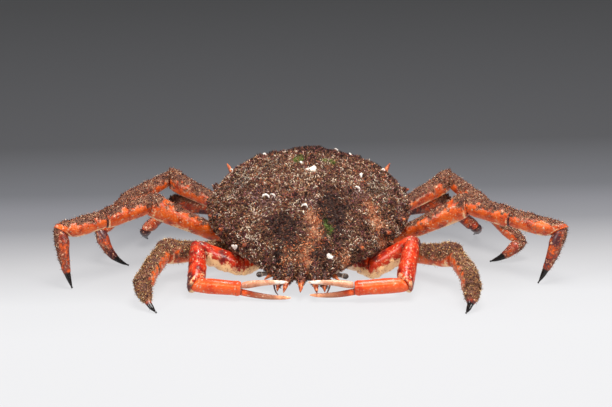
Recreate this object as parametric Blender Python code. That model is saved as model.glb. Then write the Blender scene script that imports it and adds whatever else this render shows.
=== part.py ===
"""A cooked spider crab, its back overgrown by weed, lying on its belly with every leg tip on the table.

Metres, +Z up. The crab faces -Y, and +X is the crab's own left. The origin is the middle of the
flat spot under the belly, on the table. Each limb is a chain of separate shells, from the ischium
next to the body to the black-tipped dactylus. Neighbouring shells stop at the plane that halves the
bend between them, a hair's breadth apart.
"""

import math
import random

import bmesh
import bpy
from mathutils import Matrix, Vector, noise

# Carapace outline, seen from above, and how it sits on the table
HALF_WIDTH = 0.075
FRONT_LENGTH = 0.084
REAR_LENGTH = 0.070
FRONT_ROUNDNESS = 1.72
REAR_ROUNDNESS = 2.1
MARGIN_HEIGHT = 0.034
FORWARD_TILT = math.radians(10)
SNOUT_START = 0.050
SNOUT_REACH = 0.040
SNOUT_DROOP = 0.009
BODY_YAW = math.radians(0.4)
BODY_SHIFT = Vector((-0.0018, 0.0, 0.0))

# Carapace dome
DOME_HEIGHT = 0.036
DOME_FULLNESS = 2.3
DOME_STEEPNESS = 0.62
ROUND_POINTS = 76
DOME_RINGS = 15
RING_CROWDING = 1.5
CRUST_DEPTH = 0.0038
CRUST_GRAIN = 0.013

# Swellings and grooves of the back: middle x and y, radius, height
REGIONS = (
    (0.0, -0.034, 0.020, 0.0030), (0.0, 0.022, 0.016, 0.0026), (0.0, 0.050, 0.012, 0.0014),
    (0.040, 0.012, 0.022, 0.0022), (-0.040, 0.012, 0.022, 0.0022), (-0.058, 0.016, 0.018, 0.0032),
    (0.021, -0.008, 0.010, -0.0036), (-0.021, -0.008, 0.010, -0.0036),
    (0.030, -0.046, 0.009, -0.0024), (-0.030, -0.046, 0.009, -0.0024),
)

# Carapace underside: rings as shares of the outline, full in front and behind, arched over the legs
UNDERSIDE_RINGS = (0.985, 0.93, 0.84, 0.74, 0.63, 0.52)
RIM_THICKNESS = 0.0025
VAULT_DEPTH = 0.012
FULL_POWER = 0.6
ARCHED_POWER = 3.0
ARCH_ENDS = (0.81, 0.93)

# Spines of the carapace on the crab's left: edge spines by bearing, length and foot radius, teeth of
# the snout by base, tip and foot radius, and low knobs spread over the back
EDGE_SPINES = (
    (-58, 0.0060, 0.0036), (-38, 0.0065, 0.0038), (-20, 0.0050, 0.0036),
    (-2, 0.0050, 0.0036), (16, 0.0050, 0.0036),
)
SHOULDER_SPINE = (0.0085, 0.0034)
SHOULDER_BEARINGS = {1: 36, -1: 30}
SNOUT_TEETH = (
    ((0.008, -0.078, 0.0170), (0.0115, -0.0975, 0.0070), 0.0046),
    ((0.015, -0.074, 0.0140), (0.0165, -0.0890, 0.0045), 0.0040),
    ((0.018, -0.070, 0.0130), (0.0265, -0.0775, 0.0085), 0.0030),
)
MIDDLE_TOOTH = ((0.0, -0.078, 0.0165), (0.0, -0.0955, 0.0065), 0.0044)
SPINE_SINK = 0.005
SPINE_SIDES = 6
SPINE_TIP = 0.0004
KNOB_COUNT = 30
KNOB_LENGTHS = (0.0020, 0.0036)
KNOB_RADII = (0.0028, 0.0040)
GOLDEN_ANGLE = math.radians(137.5)

# Belly: rings of the thorax as share of the outline and of the height, and the tail flap's section
# and stations, each with y, rise of its middle, bend in degrees and half width
THORAX_RINGS = ((0.50, 1.0), (0.50, 0.60), (0.58, 0.38), (0.58, 0.15), (0.52, 0.0))
THORAX_POINTS = 28
STERNUM_HEIGHT = 0.0045
FLAT_SPOT_HALF_LENGTH = 0.010
FLAP_HALF_THICKNESS = 0.0020
FLAP_SECTION = ((-0.72, -1.0), (0.72, -1.0), (1.0, -0.2), (0.92, 0.9), (-0.92, 0.9), (-1.0, -0.2))
FLAP_STATIONS = (
    (-0.0210, 0.0, 0, 0.0045), (-0.0170, 0.0, 0, 0.0075), (-FLAT_SPOT_HALF_LENGTH, 0.0, 0, 0.0095),
    (FLAT_SPOT_HALF_LENGTH, 0.0, 0, 0.0125), (0.0200, 0.0, 0, 0.0130), (0.0330, 0.0, 0, 0.0125),
    (0.0400, 0.0006, 14, 0.0122), (0.0452, 0.0036, 44, 0.0116), (0.0482, 0.0085, 70, 0.0108),
    (0.0490, 0.0135, 80, 0.0095),
)

# Walking legs: joints on the centre line from the body outwards, and the radii of the shells between
GAP = 0.0003
LIMB_SIDES = 8
SHELL_CRUST = 0.0007
SIDEWAYS_SHARE = 0.92
LEG_JOINTS = {
    "leg_1_right": ((-0.044, -0.024, 0.0115), (-0.059, -0.027, 0.0125), (-0.102, -0.060, 0.0210),
                    (-0.107, -0.085, 0.0180), (-0.110, -0.104, 0.0135), (-0.098, -0.123, 0.0)),
    "leg_1_left": ((0.044, -0.024, 0.0115), (0.059, -0.027, 0.0130), (0.105, -0.057, 0.0215),
                   (0.1135, -0.081, 0.0165), (0.1145, -0.098, 0.0125), (0.110, -0.113, 0.0)),
    "leg_2_right": ((-0.047, -0.004, 0.0125), (-0.062, -0.007, 0.0140), (-0.117, -0.025, 0.0455),
                    (-0.146, -0.048, 0.0415), (-0.173, -0.068, 0.0380), (-0.164, -0.081, 0.0)),
    "leg_2_left": ((0.047, -0.004, 0.0125), (0.062, -0.005, 0.0155), (0.115, -0.012, 0.0448),
                   (0.146, -0.025, 0.0400), (0.179, -0.045, 0.0370), (0.164, -0.054, 0.0)),
    "leg_3_right": ((-0.046, 0.017, 0.0160), (-0.060, 0.023, 0.0255), (-0.113, 0.050, 0.0425),
                    (-0.141, 0.012, 0.0355), (-0.154, -0.022, 0.0220), (-0.132, -0.033, 0.0)),
    "leg_3_left": ((0.046, 0.017, 0.0160), (0.057, 0.024, 0.0245), (0.105, 0.050, 0.0450),
                   (0.130, 0.022, 0.0340), (0.1555, -0.002, 0.0130), (0.133, -0.011, 0.0)),
    "leg_4_right": ((-0.042, 0.038, 0.0160), (-0.057, 0.043, 0.0180), (-0.111, 0.050, 0.0220),
                    (-0.120, 0.036, 0.0145), (-0.126, 0.012, 0.0125), (-0.1275, 0.026, 0.0)),
    "leg_4_left": ((0.042, 0.038, 0.0160), (0.055, 0.044, 0.0190), (0.103, 0.050, 0.0265),
                   (0.115, 0.040, 0.0180), (0.1235, 0.025, 0.0150), (0.125, 0.050, 0.0)),
}
LEG_RADII = {
    "leg_1": (0.0070, 0.0086, 0.0073, 0.0073, 0.0060),
    "leg_2": (0.0066, 0.0085, 0.0076, 0.0072, 0.0051),
    "leg_3": (0.0060, 0.0080, 0.0064, 0.0060, 0.0044),
    "leg_4": (0.0054, 0.0062, 0.0055, 0.0049, 0.0040),
}
MERUS_TAPER = 0.26
MERUS_KNOB = 0.0018
KNEE_REACH = 1.05
TABLE_TIP = 0.0006
USUAL_DACTYLUS_BOW = 0.16
DACTYLUS_BOWS = {"leg_2_left": 0.08, "leg_2_right": 0.08, "leg_3_right": 0.26}

# Coxae, on the crab's left from the claw to the last leg
COXA_STARTS = ((0.020, -0.034, 0.0085), (0.026, -0.019, 0.0095), (0.028, -0.003, 0.0105),
               (0.026, 0.014, 0.0115), (0.020, 0.030, 0.0120))
COXA_RADII = (0.0060, 0.0062, 0.0068, 0.0066, 0.0062)
COXA_TAPER = 0.30

# Claws: joints from the body to the knuckle, then the tips of the fixed and the moving finger
CLAW_JOINTS = {
    "claw_right": ((-0.036, -0.042, 0.0090), (-0.048, -0.051, 0.0086), (-0.077, -0.060, 0.0230),
                   (-0.075, -0.090, 0.0085), (-0.044, -0.093, 0.0075)),
    "claw_left": ((0.036, -0.042, 0.0090), (0.047, -0.051, 0.0088), (0.074, -0.054, 0.0275),
                  (0.069, -0.087, 0.0105), (0.035, -0.092, 0.0090)),
}
FINGERTIPS = {
    "claw_right": ((-0.009, -0.096, 0.0026), (-0.011, -0.096, 0.0140)),
    "claw_left": ((0.004, -0.094, 0.0042), (0.0025, -0.094, 0.0135)),
}
CLAW_RADII = (0.0068, 0.0066, 0.0068)
CLAW_TAPERS = (0.10, -0.20, 0.0)
PALM_HALF_HEIGHT = 0.0052
PALM_HALF_WIDTH = 0.0044
FINGER_HALF_HEIGHT = 0.0024
FINGER_NARROWING = 0.85
FINGER_OFFSET = 0.00245
KNUCKLE_STEP = 0.0005
FIXED_FINGER_SAG = 0.0012
MOVING_FINGER_ARCH = 0.0008

# Swelling along each kind of shell: share of its length, share of its radius
SHELL_PROFILE = ((0.0, 0.80), (0.10, 0.95), (0.35, 0.97), (0.65, 1.02), (0.88, 1.04), (1.0, 0.82))
PROPODUS_PROFILE = ((0.0, 0.80), (0.10, 0.95), (0.35, 0.97), (0.65, 1.0), (0.85, 0.93), (1.0, 0.60))
LONG_DACTYLUS_PROFILE = (
    (0.0, 0.86), (0.08, 1.0), (0.30, 0.92), (0.52, 0.72), (0.72, 0.50), (0.88, 0.27), (1.0, 0.0),
)
SHORT_DACTYLUS_PROFILE = (
    (0.0, 0.86), (0.10, 1.0), (0.30, 0.93), (0.46, 0.70), (0.59, 0.44), (0.82, 0.27), (1.0, 0.0),
)
PALM_PROFILE = ((0.0, 0.80), (0.14, 1.0), (0.55, 1.04), (0.90, 0.98), (1.0, 0.90))
FIXED_FINGER_PROFILE = ((0.0, 1.0), (0.35, 0.88), (0.70, 0.66), (0.93, 0.40), (1.0, 0.16))
MOVING_FINGER_PROFILE = (
    (0.0, 0.92), (0.10, 1.0), (0.45, 0.86), (0.75, 0.62), (0.94, 0.36), (1.0, 0.14),
)
EYESTALK_PROFILE = ((0.0, 0.72), (0.15, 0.85), (0.55, 0.80), (0.75, 1.0), (0.92, 0.86), (1.0, 0.45))

# Eyestalks and antennae, on the crab's left
EYESTALK_FOOT = (0.0228, -0.0690, 0.0104)
EYESTALK_END = (0.0320, -0.0745, 0.0108)
EYESTALK_RADIUS = 0.0020
EYESTALK_SIDES = 8
ANTENNA_FOOT = (0.0198, -0.0765, 0.0090)
ANTENNA_RUN = (-0.0038, -0.0125, -0.0070)
ANTENNA_RADIUS = 0.0008
ANTENNA_THINNING = 0.6
ANTENNA_RINGS = 8
ANTENNA_SIDES = 6

SHADING_ANGLE = math.radians(50)
UPWARDS = Vector((0.0, 0.0, 1.0))


def make_material(name, colour, roughness):
    material = bpy.data.materials.new(name)
    material.use_nodes = True
    shader = material.node_tree.nodes["Principled BSDF"]
    shader.inputs["Base Color"].default_value = (*colour, 1.0)
    shader.inputs["Roughness"].default_value = roughness
    shader.inputs["Metallic"].default_value = 0.0
    return material


def add_mesh_object(name, bm, material):
    """Turn a closed bmesh into a smooth-shaded object with outward faces, none of it below z = 0."""
    for vert in bm.verts:
        vert.co.z = max(vert.co.z, 0.0)
    bmesh.ops.recalc_face_normals(bm, faces=bm.faces)
    mesh = bpy.data.meshes.new(name)
    bm.to_mesh(mesh)
    bm.free()
    mesh.materials.append(material)
    mesh.shade_smooth()
    mesh.set_sharp_from_angle(angle=SHADING_ANGLE)
    obj = bpy.data.objects.new(name, mesh)
    bpy.context.scene.collection.objects.link(obj)
    return obj


def union_into(target, pieces, material):
    """Fuse closed bmeshes into the target with one exact Boolean, and remove the loose pieces."""
    helpers = bpy.data.collections.new(target.name + "_pieces")
    bpy.context.scene.collection.children.link(helpers)
    for i, bm in enumerate(pieces):
        piece = add_mesh_object(f"{target.name}_piece_{i}", bm, material)
        bpy.context.scene.collection.objects.unlink(piece)
        helpers.objects.link(piece)
    join = target.modifiers.new("fuse", "BOOLEAN")
    join.operation = "UNION"
    join.operand_type = "COLLECTION"
    join.collection = helpers
    join.solver = "EXACT"
    graph = bpy.context.evaluated_depsgraph_get()
    fused = bpy.data.meshes.new_from_object(target.evaluated_get(graph))
    target.modifiers.clear()
    target.data = fused
    for piece in list(helpers.objects):
        bpy.data.objects.remove(piece)
    bpy.data.collections.remove(helpers)
    fused.shade_smooth()
    fused.set_sharp_from_angle(angle=SHADING_ANGLE)


def circle_of_angles(count):
    return [2 * math.pi * i / count for i in range(count)]


def oval(centre, side, up, half_width, half_height, count):
    return [
        centre + math.cos(a) * half_width * side + math.sin(a) * half_height * up
        for a in circle_of_angles(count)
    ]


def loft(rings):
    """A closed bmesh through rings that all hold the same number of points."""
    bm = bmesh.new()
    loops = [[bm.verts.new(point) for point in ring] for ring in rings]
    count = len(loops[0])
    for near, far in zip(loops, loops[1:]):
        for i in range(count):
            j = (i + 1) % count
            bm.faces.new((near[i], near[j], far[j], far[i]))
    bm.faces.new(tuple(reversed(loops[0])))
    bm.faces.new(loops[-1])
    return bm


def side_and_up(direction, hint):
    """Two unit vectors across a direction, the second as near to the hint as it can be."""
    side = direction.cross(hint).normalized()
    return side, side.cross(direction).normalized()


def turn_body(point):
    """Turn a point of the body about the vertical by the body's small yaw, and shift it a little."""
    return Matrix.Rotation(-BODY_YAW, 3, "Z") @ Vector(point) + BODY_SHIFT


def on_side(point, side):
    """A point given for the crab's left: itself for side 1, its mirror image for side -1."""
    return Vector((side * point[0], point[1], point[2]))


def outline_point(share, angle):
    """The x and y at a share of the way from the middle of the carapace to its edge."""
    across, along = math.cos(angle), math.sin(angle)
    power = FRONT_ROUNDNESS if along < 0 else REAR_ROUNDNESS
    length = FRONT_LENGTH if along < 0 else REAR_LENGTH
    edge = (abs(across / HALF_WIDTH) ** power + abs(along / length) ** power) ** (-1 / power)
    return share * edge * across, share * edge * along


def margin_height(y):
    """Height of the carapace's edge at y: a plane tilted forward, with a drooping snout."""
    droop = min(max((-y - SNOUT_START) / SNOUT_REACH, 0.0), 2.0) ** 2
    return MARGIN_HEIGHT + y * math.tan(FORWARD_TILT) - SNOUT_DROOP * droop


def crust_relief(point, seed):
    """Lumps of weed and crust: a noise of two grains, about zero."""
    place = Vector(point) / CRUST_GRAIN + Vector((seed, 3.1 * seed, 0.0))
    return noise.noise(place) + 0.6 * noise.noise(place * 2.3)


def dome_point(share, angle):
    """A point of the carapace's top, at a share of the way from its middle to its edge."""
    x, y = outline_point(share, angle)
    z = margin_height(y) + DOME_HEIGHT * (1 - share**DOME_FULLNESS) ** DOME_STEEPNESS
    for cx, cy, radius, height in REGIONS:
        z += height * math.exp(-((x - cx) ** 2 + (y - cy) ** 2) / radius**2) * (1 - share**4)
    lump = CRUST_DEPTH * crust_relief((x, y, z), 1.7)
    outward = 1 + lump * share**3 / max(math.hypot(x, y), 0.01)
    return turn_body((x * outward, y * outward, z + lump * (1 - share**6)))


def underside_point(share, angle):
    """A point of the carapace's underside: full in front and behind, arched over the legs between."""
    x, y = outline_point(share, angle)
    near, far = ARCH_ENDS
    arched = min(max((far - abs(math.sin(angle))) / (far - near), 0.0), 1.0)
    power = FULL_POWER + (ARCHED_POWER - FULL_POWER) * arched
    inwards = (UNDERSIDE_RINGS[0] - share) / (UNDERSIDE_RINGS[0] - UNDERSIDE_RINGS[-1])
    return turn_body((x, y, margin_height(y) - RIM_THICKNESS - VAULT_DEPTH * inwards**power))


def cone(base, tip, radius, waists=(0.25,)):
    """A closed pointed spine whose foot is sunk into the shell, with rings at the given shares."""
    direction = (tip - base).normalized()
    side, up = side_and_up(direction, Vector((0.31, 0.17, 0.94)))
    sections = [(base - direction * SPINE_SINK, radius)]
    sections += [(base.lerp(tip, share), radius * (1 - share)) for share in waists]
    sections.append((tip, SPINE_TIP))
    return loft([oval(centre, side, up, size, size, SPINE_SIDES) for centre, size in sections])


def spine_on_dome(share, angle, length, radius, lift, waists=(0.25,)):
    """A spine that leaves the dome outwards, rising by the lift for each step out."""
    base = dome_point(share, angle)
    outward = Vector((math.cos(angle), math.sin(angle), lift)).normalized()
    return cone(base, base + outward * length, radius, waists)


def carapace_spines():
    """The edge spines, the horns and teeth of the snout, and knobs all over the back."""
    spines = []
    for side in (1, -1):
        for bearing, length, radius in EDGE_SPINES:
            angle = math.radians(bearing if side > 0 else 180 - bearing)
            spines.append(spine_on_dome(0.97, angle, length, radius, 0.35))
        length, radius = SHOULDER_SPINE
        angle = math.radians(SHOULDER_BEARINGS[side] if side > 0 else 180 - SHOULDER_BEARINGS[side])
        spines.append(spine_on_dome(0.93, angle, length, radius, 1.1))
        for base, tip, radius in SNOUT_TEETH:
            spines.append(cone(turn_body(on_side(base, side)), turn_body(on_side(tip, side)), radius))
    base, tip, radius = MIDDLE_TOOTH
    spines.append(cone(turn_body(base), turn_body(tip), radius))
    draw = random.Random(4)
    for i in range(KNOB_COUNT):
        share = 0.90 * math.sqrt((i + 0.5) / KNOB_COUNT)
        angle = i * GOLDEN_ANGLE + draw.uniform(-0.2, 0.2)
        length, radius = draw.uniform(*KNOB_LENGTHS), draw.uniform(*KNOB_RADII)
        spines.append(spine_on_dome(share, angle, length, radius, 2.5, ()))
    return spines


def make_carapace(material):
    """The domed back shell with its underside, closed by a fan at the top and one at the bottom."""
    angles = circle_of_angles(ROUND_POINTS)
    dome_shares = [1 - (1 - i / DOME_RINGS) ** RING_CROWDING for i in range(1, DOME_RINGS + 1)]
    rings = [[dome_point(share, angle) for angle in angles] for share in dome_shares]
    rings += [[underside_point(share, angle) for angle in angles] for share in UNDERSIDE_RINGS]
    bm = bmesh.new()
    loops = [[bm.verts.new(point) for point in ring] for ring in rings]
    top = bm.verts.new(dome_point(0.0, 0.0))
    bottom = bm.verts.new((0.0, 0.0, MARGIN_HEIGHT - RIM_THICKNESS - VAULT_DEPTH))
    for i in range(ROUND_POINTS):
        j = (i + 1) % ROUND_POINTS
        bm.faces.new((top, loops[0][i], loops[0][j]))
        bm.faces.new((bottom, loops[-1][j], loops[-1][i]))
        for inner, outer in zip(loops, loops[1:]):
            bm.faces.new((inner[i], outer[i], outer[j], inner[j]))
    carapace = add_mesh_object("carapace", bm, material)
    union_into(carapace, carapace_spines(), material)


def tuck_corner(point, joint, outwards, reach):
    """Pull a point that lies past a joint, in the direction outwards, back to a ball round the joint."""
    away = point - joint
    if away.dot(outwards) > 0 and away.length > reach:
        return joint + away * (reach / away.length)
    return point


def limb_shell(ends, radius, taper=0.0, knob=0.0, seed=0.0, profile=SHELL_PROFILE):
    """One shell, its ends given as two joints and the normals of the planes that halve their bends.

    The corner that a plane leaves on the outside of a sharp bend is rounded to a ball round the joint.
    The taper makes the near end slimmer by that share, or thicker where it is negative. A knob
    raises the far end's back, where the real merus has its spine.
    """
    start, end, start_normal, end_normal = [Vector(corner) for corner in ends]
    direction = (end - start).normalized()
    side, up = side_and_up(direction, UPWARDS)
    rings = []
    for share, size in profile:
        centre = start.lerp(end, share)
        ring = []
        for i, a in enumerate(circle_of_angles(LIMB_SIDES)):
            place = centre * 2 + Vector((0.01 * i, 0.0, 0.0))
            lump = SHELL_CRUST * crust_relief(place, seed) * 4 * share * (1 - share)
            back = knob * max(math.sin(a), 0.0) ** 2 * math.exp(-((share - 0.90) / 0.10) ** 2)
            reach = radius * size * (1 - taper * (1 - share)) + lump + back
            offset = reach * (math.cos(a) * SIDEWAYS_SHARE * side + math.sin(a) * up)
            to_start = (GAP / 2 - offset.dot(start_normal)) / direction.dot(start_normal)
            to_end = (-GAP / 2 - offset.dot(end_normal)) / direction.dot(end_normal)
            point = centre + offset + direction * ((1 - share) * to_start + share * to_end)
            point = tuck_corner(point, end, direction, radius * KNEE_REACH)
            ring.append(tuck_corner(point, start, -direction, radius * KNEE_REACH))
        rings.append(ring)
    return loft(rings)


def dactylus(start, tip, start_normal, radius, outward, profile, bow):
    """The last shell of a leg: it tapers along a bow to a point on the table."""
    start, tip = Vector(start), Vector(tip) + UPWARDS * 1.2 * TABLE_TIP
    chord = (tip - start).normalized()
    up = side_and_up(chord, Vector(outward))[1]
    middle = start.lerp(tip, 0.55) + up * (tip - start).length * bow
    rings = []
    for share, size in profile:
        centre = start * (1 - share) ** 2 + middle * 2 * share * (1 - share) + tip * share**2
        tangent = ((middle - start) * (1 - share) + (tip - middle) * share).normalized()
        across, above = side_and_up(tangent, up)
        half = max(radius * size, TABLE_TIP)
        ring = []
        for offset in oval(Vector(), across, above, half * SIDEWAYS_SHARE, half, LIMB_SIDES):
            to_start = (GAP / 2 - offset.dot(start_normal)) / chord.dot(start_normal)
            point = centre + offset + chord * (1 - share) ** 4 * to_start
            ring.append(tuck_corner(point, start, -chord, radius * KNEE_REACH))
        rings.append(ring)
    return loft(rings)


def joint_normals(points):
    """At each inner point of a chain, the unit normal of the plane that halves the bend there."""
    steps = [(Vector(b) - Vector(a)).normalized() for a, b in zip(points, points[1:])]
    return [(before + after).normalized() for before, after in zip(steps, steps[1:])]


def coxa_start(index, name):
    return on_side(COXA_STARTS[index], -1 if name.endswith("right") else 1)


def make_leg(name, index, shells, tip_shell):
    """The five shells of one walking leg."""
    joints = LEG_JOINTS[name]
    normals = joint_normals((coxa_start(index, name), *joints))
    radii = LEG_RADII[f"leg_{index}"]
    for i, part in enumerate(("ischium", "merus", "carpus", "propodus")):
        taper, knob = (MERUS_TAPER, MERUS_KNOB) if part == "merus" else (0.0, 0.0)
        ends = (joints[i], joints[i + 1], normals[i], normals[i + 1])
        profile = PROPODUS_PROFILE if part == "propodus" and index > 1 else SHELL_PROFILE
        bm = limb_shell(ends, radii[i], taper, knob, 2.0 + index + i, profile)
        add_mesh_object(f"{name}_{part}", bm, shells[part])
    outward = (math.copysign(1.0, joints[-1][0]), 0.0, 0.15)
    profile = SHORT_DACTYLUS_PROFILE if index == 1 else LONG_DACTYLUS_PROFILE
    bow = DACTYLUS_BOWS.get(name, USUAL_DACTYLUS_BOW)
    bm = dactylus(*joints[4:], normals[4], radii[4], outward, profile, bow)
    add_mesh_object(f"{name}_dactylus", bm, tip_shell)


def palm_rings(wrist, knuckle, fixed_tip, wrist_normal):
    """The palm, which steps down to its lower half and runs out as the fixed finger."""
    direction = (knuckle - wrist).normalized()
    side, up = side_and_up(direction, UPWARDS)
    rings = []
    for share, size in PALM_PROFILE:
        ring = []
        for offset in oval(Vector(), side, up, PALM_HALF_WIDTH * size, PALM_HALF_HEIGHT * size, LIMB_SIDES):
            to_wrist = (GAP / 2 - offset.dot(wrist_normal)) / direction.dot(wrist_normal)
            ring.append(wrist.lerp(knuckle, share) + offset + direction * (1 - share) ** 2 * to_wrist)
        rings.append(ring)
    root = knuckle + direction * KNUCKLE_STEP - up * FINGER_OFFSET
    for share, size in FIXED_FINGER_PROFILE:
        centre = root.lerp(fixed_tip, share) - up * FIXED_FINGER_SAG * math.sin(math.pi * share)
        half = FINGER_HALF_HEIGHT * size
        rings.append(oval(centre, side, up, half * FINGER_NARROWING, half, LIMB_SIDES))
    return rings


def finger_rings(wrist, knuckle, tip):
    """The movable finger above the fixed one, slightly arched and pointed."""
    direction = (knuckle - wrist).normalized()
    side, up = side_and_up(direction, UPWARDS)
    root = knuckle + direction * 2 * KNUCKLE_STEP + up * FINGER_OFFSET
    rings = []
    for share, size in MOVING_FINGER_PROFILE:
        centre = root.lerp(tip, share) + up * MOVING_FINGER_ARCH * math.sin(math.pi * share)
        half = FINGER_HALF_HEIGHT * size
        rings.append(oval(centre, side, up, half * FINGER_NARROWING, half, LIMB_SIDES))
    return rings


def make_claw(name, shells, palm_material, finger_material):
    """The five shells of one folded claw."""
    joints = [Vector(joint) for joint in CLAW_JOINTS[name]]
    fixed_tip, moving_tip = [Vector(tip) for tip in FINGERTIPS[name]]
    normals = joint_normals((coxa_start(0, name), *joints))
    for i, part in enumerate(("ischium", "merus", "carpus")):
        ends = (joints[i], joints[i + 1], normals[i], normals[i + 1])
        bm = limb_shell(ends, CLAW_RADII[i], CLAW_TAPERS[i], seed=7.0 + i)
        add_mesh_object(f"{name}_{part}", bm, shells[part])
    wrist, knuckle = joints[3:]
    palm = loft(palm_rings(wrist, knuckle, fixed_tip, normals[3]))
    add_mesh_object(f"{name}_palm", palm, palm_material)
    add_mesh_object(f"{name}_finger", loft(finger_rings(wrist, knuckle, moving_tip)), finger_material)


def make_thorax(material):
    """The body block under the carapace, with the ten coxae that the limbs start from."""
    rings = []
    for scale, rise in THORAX_RINGS:
        ring = []
        for angle in circle_of_angles(THORAX_POINTS):
            x, y = outline_point(scale, angle)
            roof = MARGIN_HEIGHT + y * math.tan(FORWARD_TILT) - RIM_THICKNESS - VAULT_DEPTH - 2 * GAP
            ring.append(turn_body((x, y, STERNUM_HEIGHT + (roof - STERNUM_HEIGHT) * rise)))
        rings.append(ring)
    thorax = add_mesh_object("thorax", loft(rings), material)
    coxae = []
    for index, limb in enumerate(("claw", "leg_1", "leg_2", "leg_3", "leg_4")):
        for side in ("left", "right"):
            name = f"{limb}_{side}"
            joints = CLAW_JOINTS[name] if limb == "claw" else LEG_JOINTS[name]
            start, end = coxa_start(index, name), Vector(joints[0])
            ends = (start, end, (end - start).normalized(), joint_normals((start, *joints))[0])
            coxa = limb_shell(ends, COXA_RADII[index], COXA_TAPER, seed=11.0 + index)
            coxae.append(coxa)
    union_into(thorax, coxae, material)


def make_abdomen(material):
    """The tail flap folded flat under the belly, its rear end bent up behind the body."""
    rings = []
    for y, rise, bend, half_width in FLAP_STATIONS:
        turn = math.radians(bend)
        normal = Vector((0.0, -math.sin(turn), math.cos(turn)))
        middle = Vector((0.0, y, FLAP_HALF_THICKNESS + rise))
        rings.append([
            middle + Vector((across * half_width, 0.0, 0.0)) + normal * above * FLAP_HALF_THICKNESS
            for across, above in FLAP_SECTION
        ])
    add_mesh_object("abdomen", loft(rings), material)


def make_eyestalk(name, side, material):
    """A short stalk with a rounded end, standing out under the edge of the snout."""
    start, end = [turn_body(on_side(point, side)) for point in (EYESTALK_FOOT, EYESTALK_END)]
    across, up = side_and_up((end - start).normalized(), UPWARDS)
    rings = []
    for share, size in EYESTALK_PROFILE:
        radius = EYESTALK_RADIUS * size
        rings.append(oval(start.lerp(end, share), across, up, radius, radius, EYESTALK_SIDES))
    add_mesh_object(name, loft(rings), material)


def make_antenna(name, side, material):
    """A thin feeler that hangs from under the snout and curls inwards."""
    across, up = Vector((side, 0.0, 0.0)), Vector((0.0, 0.45, 0.89))
    rings = []
    for i in range(ANTENNA_RINGS):
        share = i / (ANTENNA_RINGS - 1)
        bend = Vector((share**2, share, math.sin(1.5 * share)))
        centre = turn_body(on_side(Vector(ANTENNA_FOOT) + Vector(ANTENNA_RUN) * bend, side))
        radius = ANTENNA_RADIUS * (1 - ANTENNA_THINNING * share)
        rings.append(oval(centre, across, up, radius, radius, ANTENNA_SIDES))
    add_mesh_object(name, loft(rings), material)


def main():
    for obj in list(bpy.data.objects):
        bpy.data.objects.remove(obj)
    crust = make_material("weedy_crust", (0.085, 0.045, 0.030), 0.95)
    leg_crust = make_material("leg_crust", (0.22, 0.075, 0.035), 0.85)
    leg_shell = make_material("cooked_leg_shell", (0.52, 0.11, 0.025), 0.55)
    claw_shell = make_material("claw_red_shell", (0.62, 0.060, 0.020), 0.40)
    palm_shell = make_material("claw_palm_shell", (0.78, 0.22, 0.080), 0.35)
    finger_shell = make_material("claw_finger_shell", (0.66, 0.36, 0.24), 0.40)
    belly_shell = make_material("belly_shell", (0.72, 0.46, 0.25), 0.55)
    dactylus_shell = make_material("dactylus_shell", (0.30, 0.070, 0.025), 0.50)
    eyestalk_shell = make_material("eyestalk_shell", (0.10, 0.070, 0.055), 0.35)
    antenna_shell = make_material("antenna_shell", (0.22, 0.040, 0.020), 0.50)

    make_carapace(crust)
    make_thorax(belly_shell)
    make_abdomen(belly_shell)
    leg_shells = {"ischium": leg_shell, "merus": leg_shell, "carpus": leg_crust, "propodus": leg_crust}
    claw_shells = {"ischium": belly_shell, "merus": claw_shell, "carpus": claw_shell}
    for side, sign in (("left", 1), ("right", -1)):
        for leg in range(1, 5):
            make_leg(f"leg_{leg}_{side}", leg, leg_shells, dactylus_shell)
        make_claw(f"claw_{side}", claw_shells, palm_shell, finger_shell)
        make_eyestalk(f"eyestalk_{side}", sign, eyestalk_shell)
        make_antenna(f"antenna_{side}", sign, antenna_shell)


main()
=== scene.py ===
"""The look of a cooked spider crab with an overgrown back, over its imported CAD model. Metres, +Z up."""

import math
import random

import bpy
import numpy as np
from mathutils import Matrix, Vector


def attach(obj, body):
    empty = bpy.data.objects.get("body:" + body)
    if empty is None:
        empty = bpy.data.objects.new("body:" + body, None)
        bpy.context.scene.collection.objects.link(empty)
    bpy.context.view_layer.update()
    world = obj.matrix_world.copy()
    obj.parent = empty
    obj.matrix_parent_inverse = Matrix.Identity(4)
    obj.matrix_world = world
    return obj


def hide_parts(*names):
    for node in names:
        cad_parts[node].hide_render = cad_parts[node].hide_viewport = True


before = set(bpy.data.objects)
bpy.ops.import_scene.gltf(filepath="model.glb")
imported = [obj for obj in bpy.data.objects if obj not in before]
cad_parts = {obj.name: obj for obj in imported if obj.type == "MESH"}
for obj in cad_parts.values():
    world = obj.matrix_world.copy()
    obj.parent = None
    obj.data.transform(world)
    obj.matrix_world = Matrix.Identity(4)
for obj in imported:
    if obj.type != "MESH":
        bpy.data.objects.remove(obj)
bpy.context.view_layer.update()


# The studio: a pale sheet that the crab lies on, under one big soft lamp and two smaller ones. Light is
# painted on the sheet: its colour falls off from white around the crab into grey behind it, and it glows with
# that colour, a painted glow that fills in the shadows on it. The camera stands a metre in front, a little to
# the crab's left, and looks down on it by 18 degrees.
CAMERA_SPOT, CAMERA_AIM = (0.0498, -1.0193, 0.3715), (-0.0036, -0.0002, 0.0399)
LENS, SENSOR_WIDTH = 85.0, 36.0
SHEET_HALF, SHEET_HEIGHT = 6.0, -0.0002
# The way that the sheet's painted light falls off into grey, and the stretch along it over which it does
DARKER_WAY, DARKER_STRETCH = (-0.13, 1.0, 0.0), (-0.3, 1.2)


def paint(red, green, blue):
    """A colour as it shows on a screen, each part from 0 to 255, turned into linear light."""
    share = np.array([red, green, blue]) / 255.0
    linear = np.where(share <= 0.04045, share / 12.92, ((share + 0.055) / 1.055) ** 2.4)
    return (*linear.tolist(), 1.0)


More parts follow.
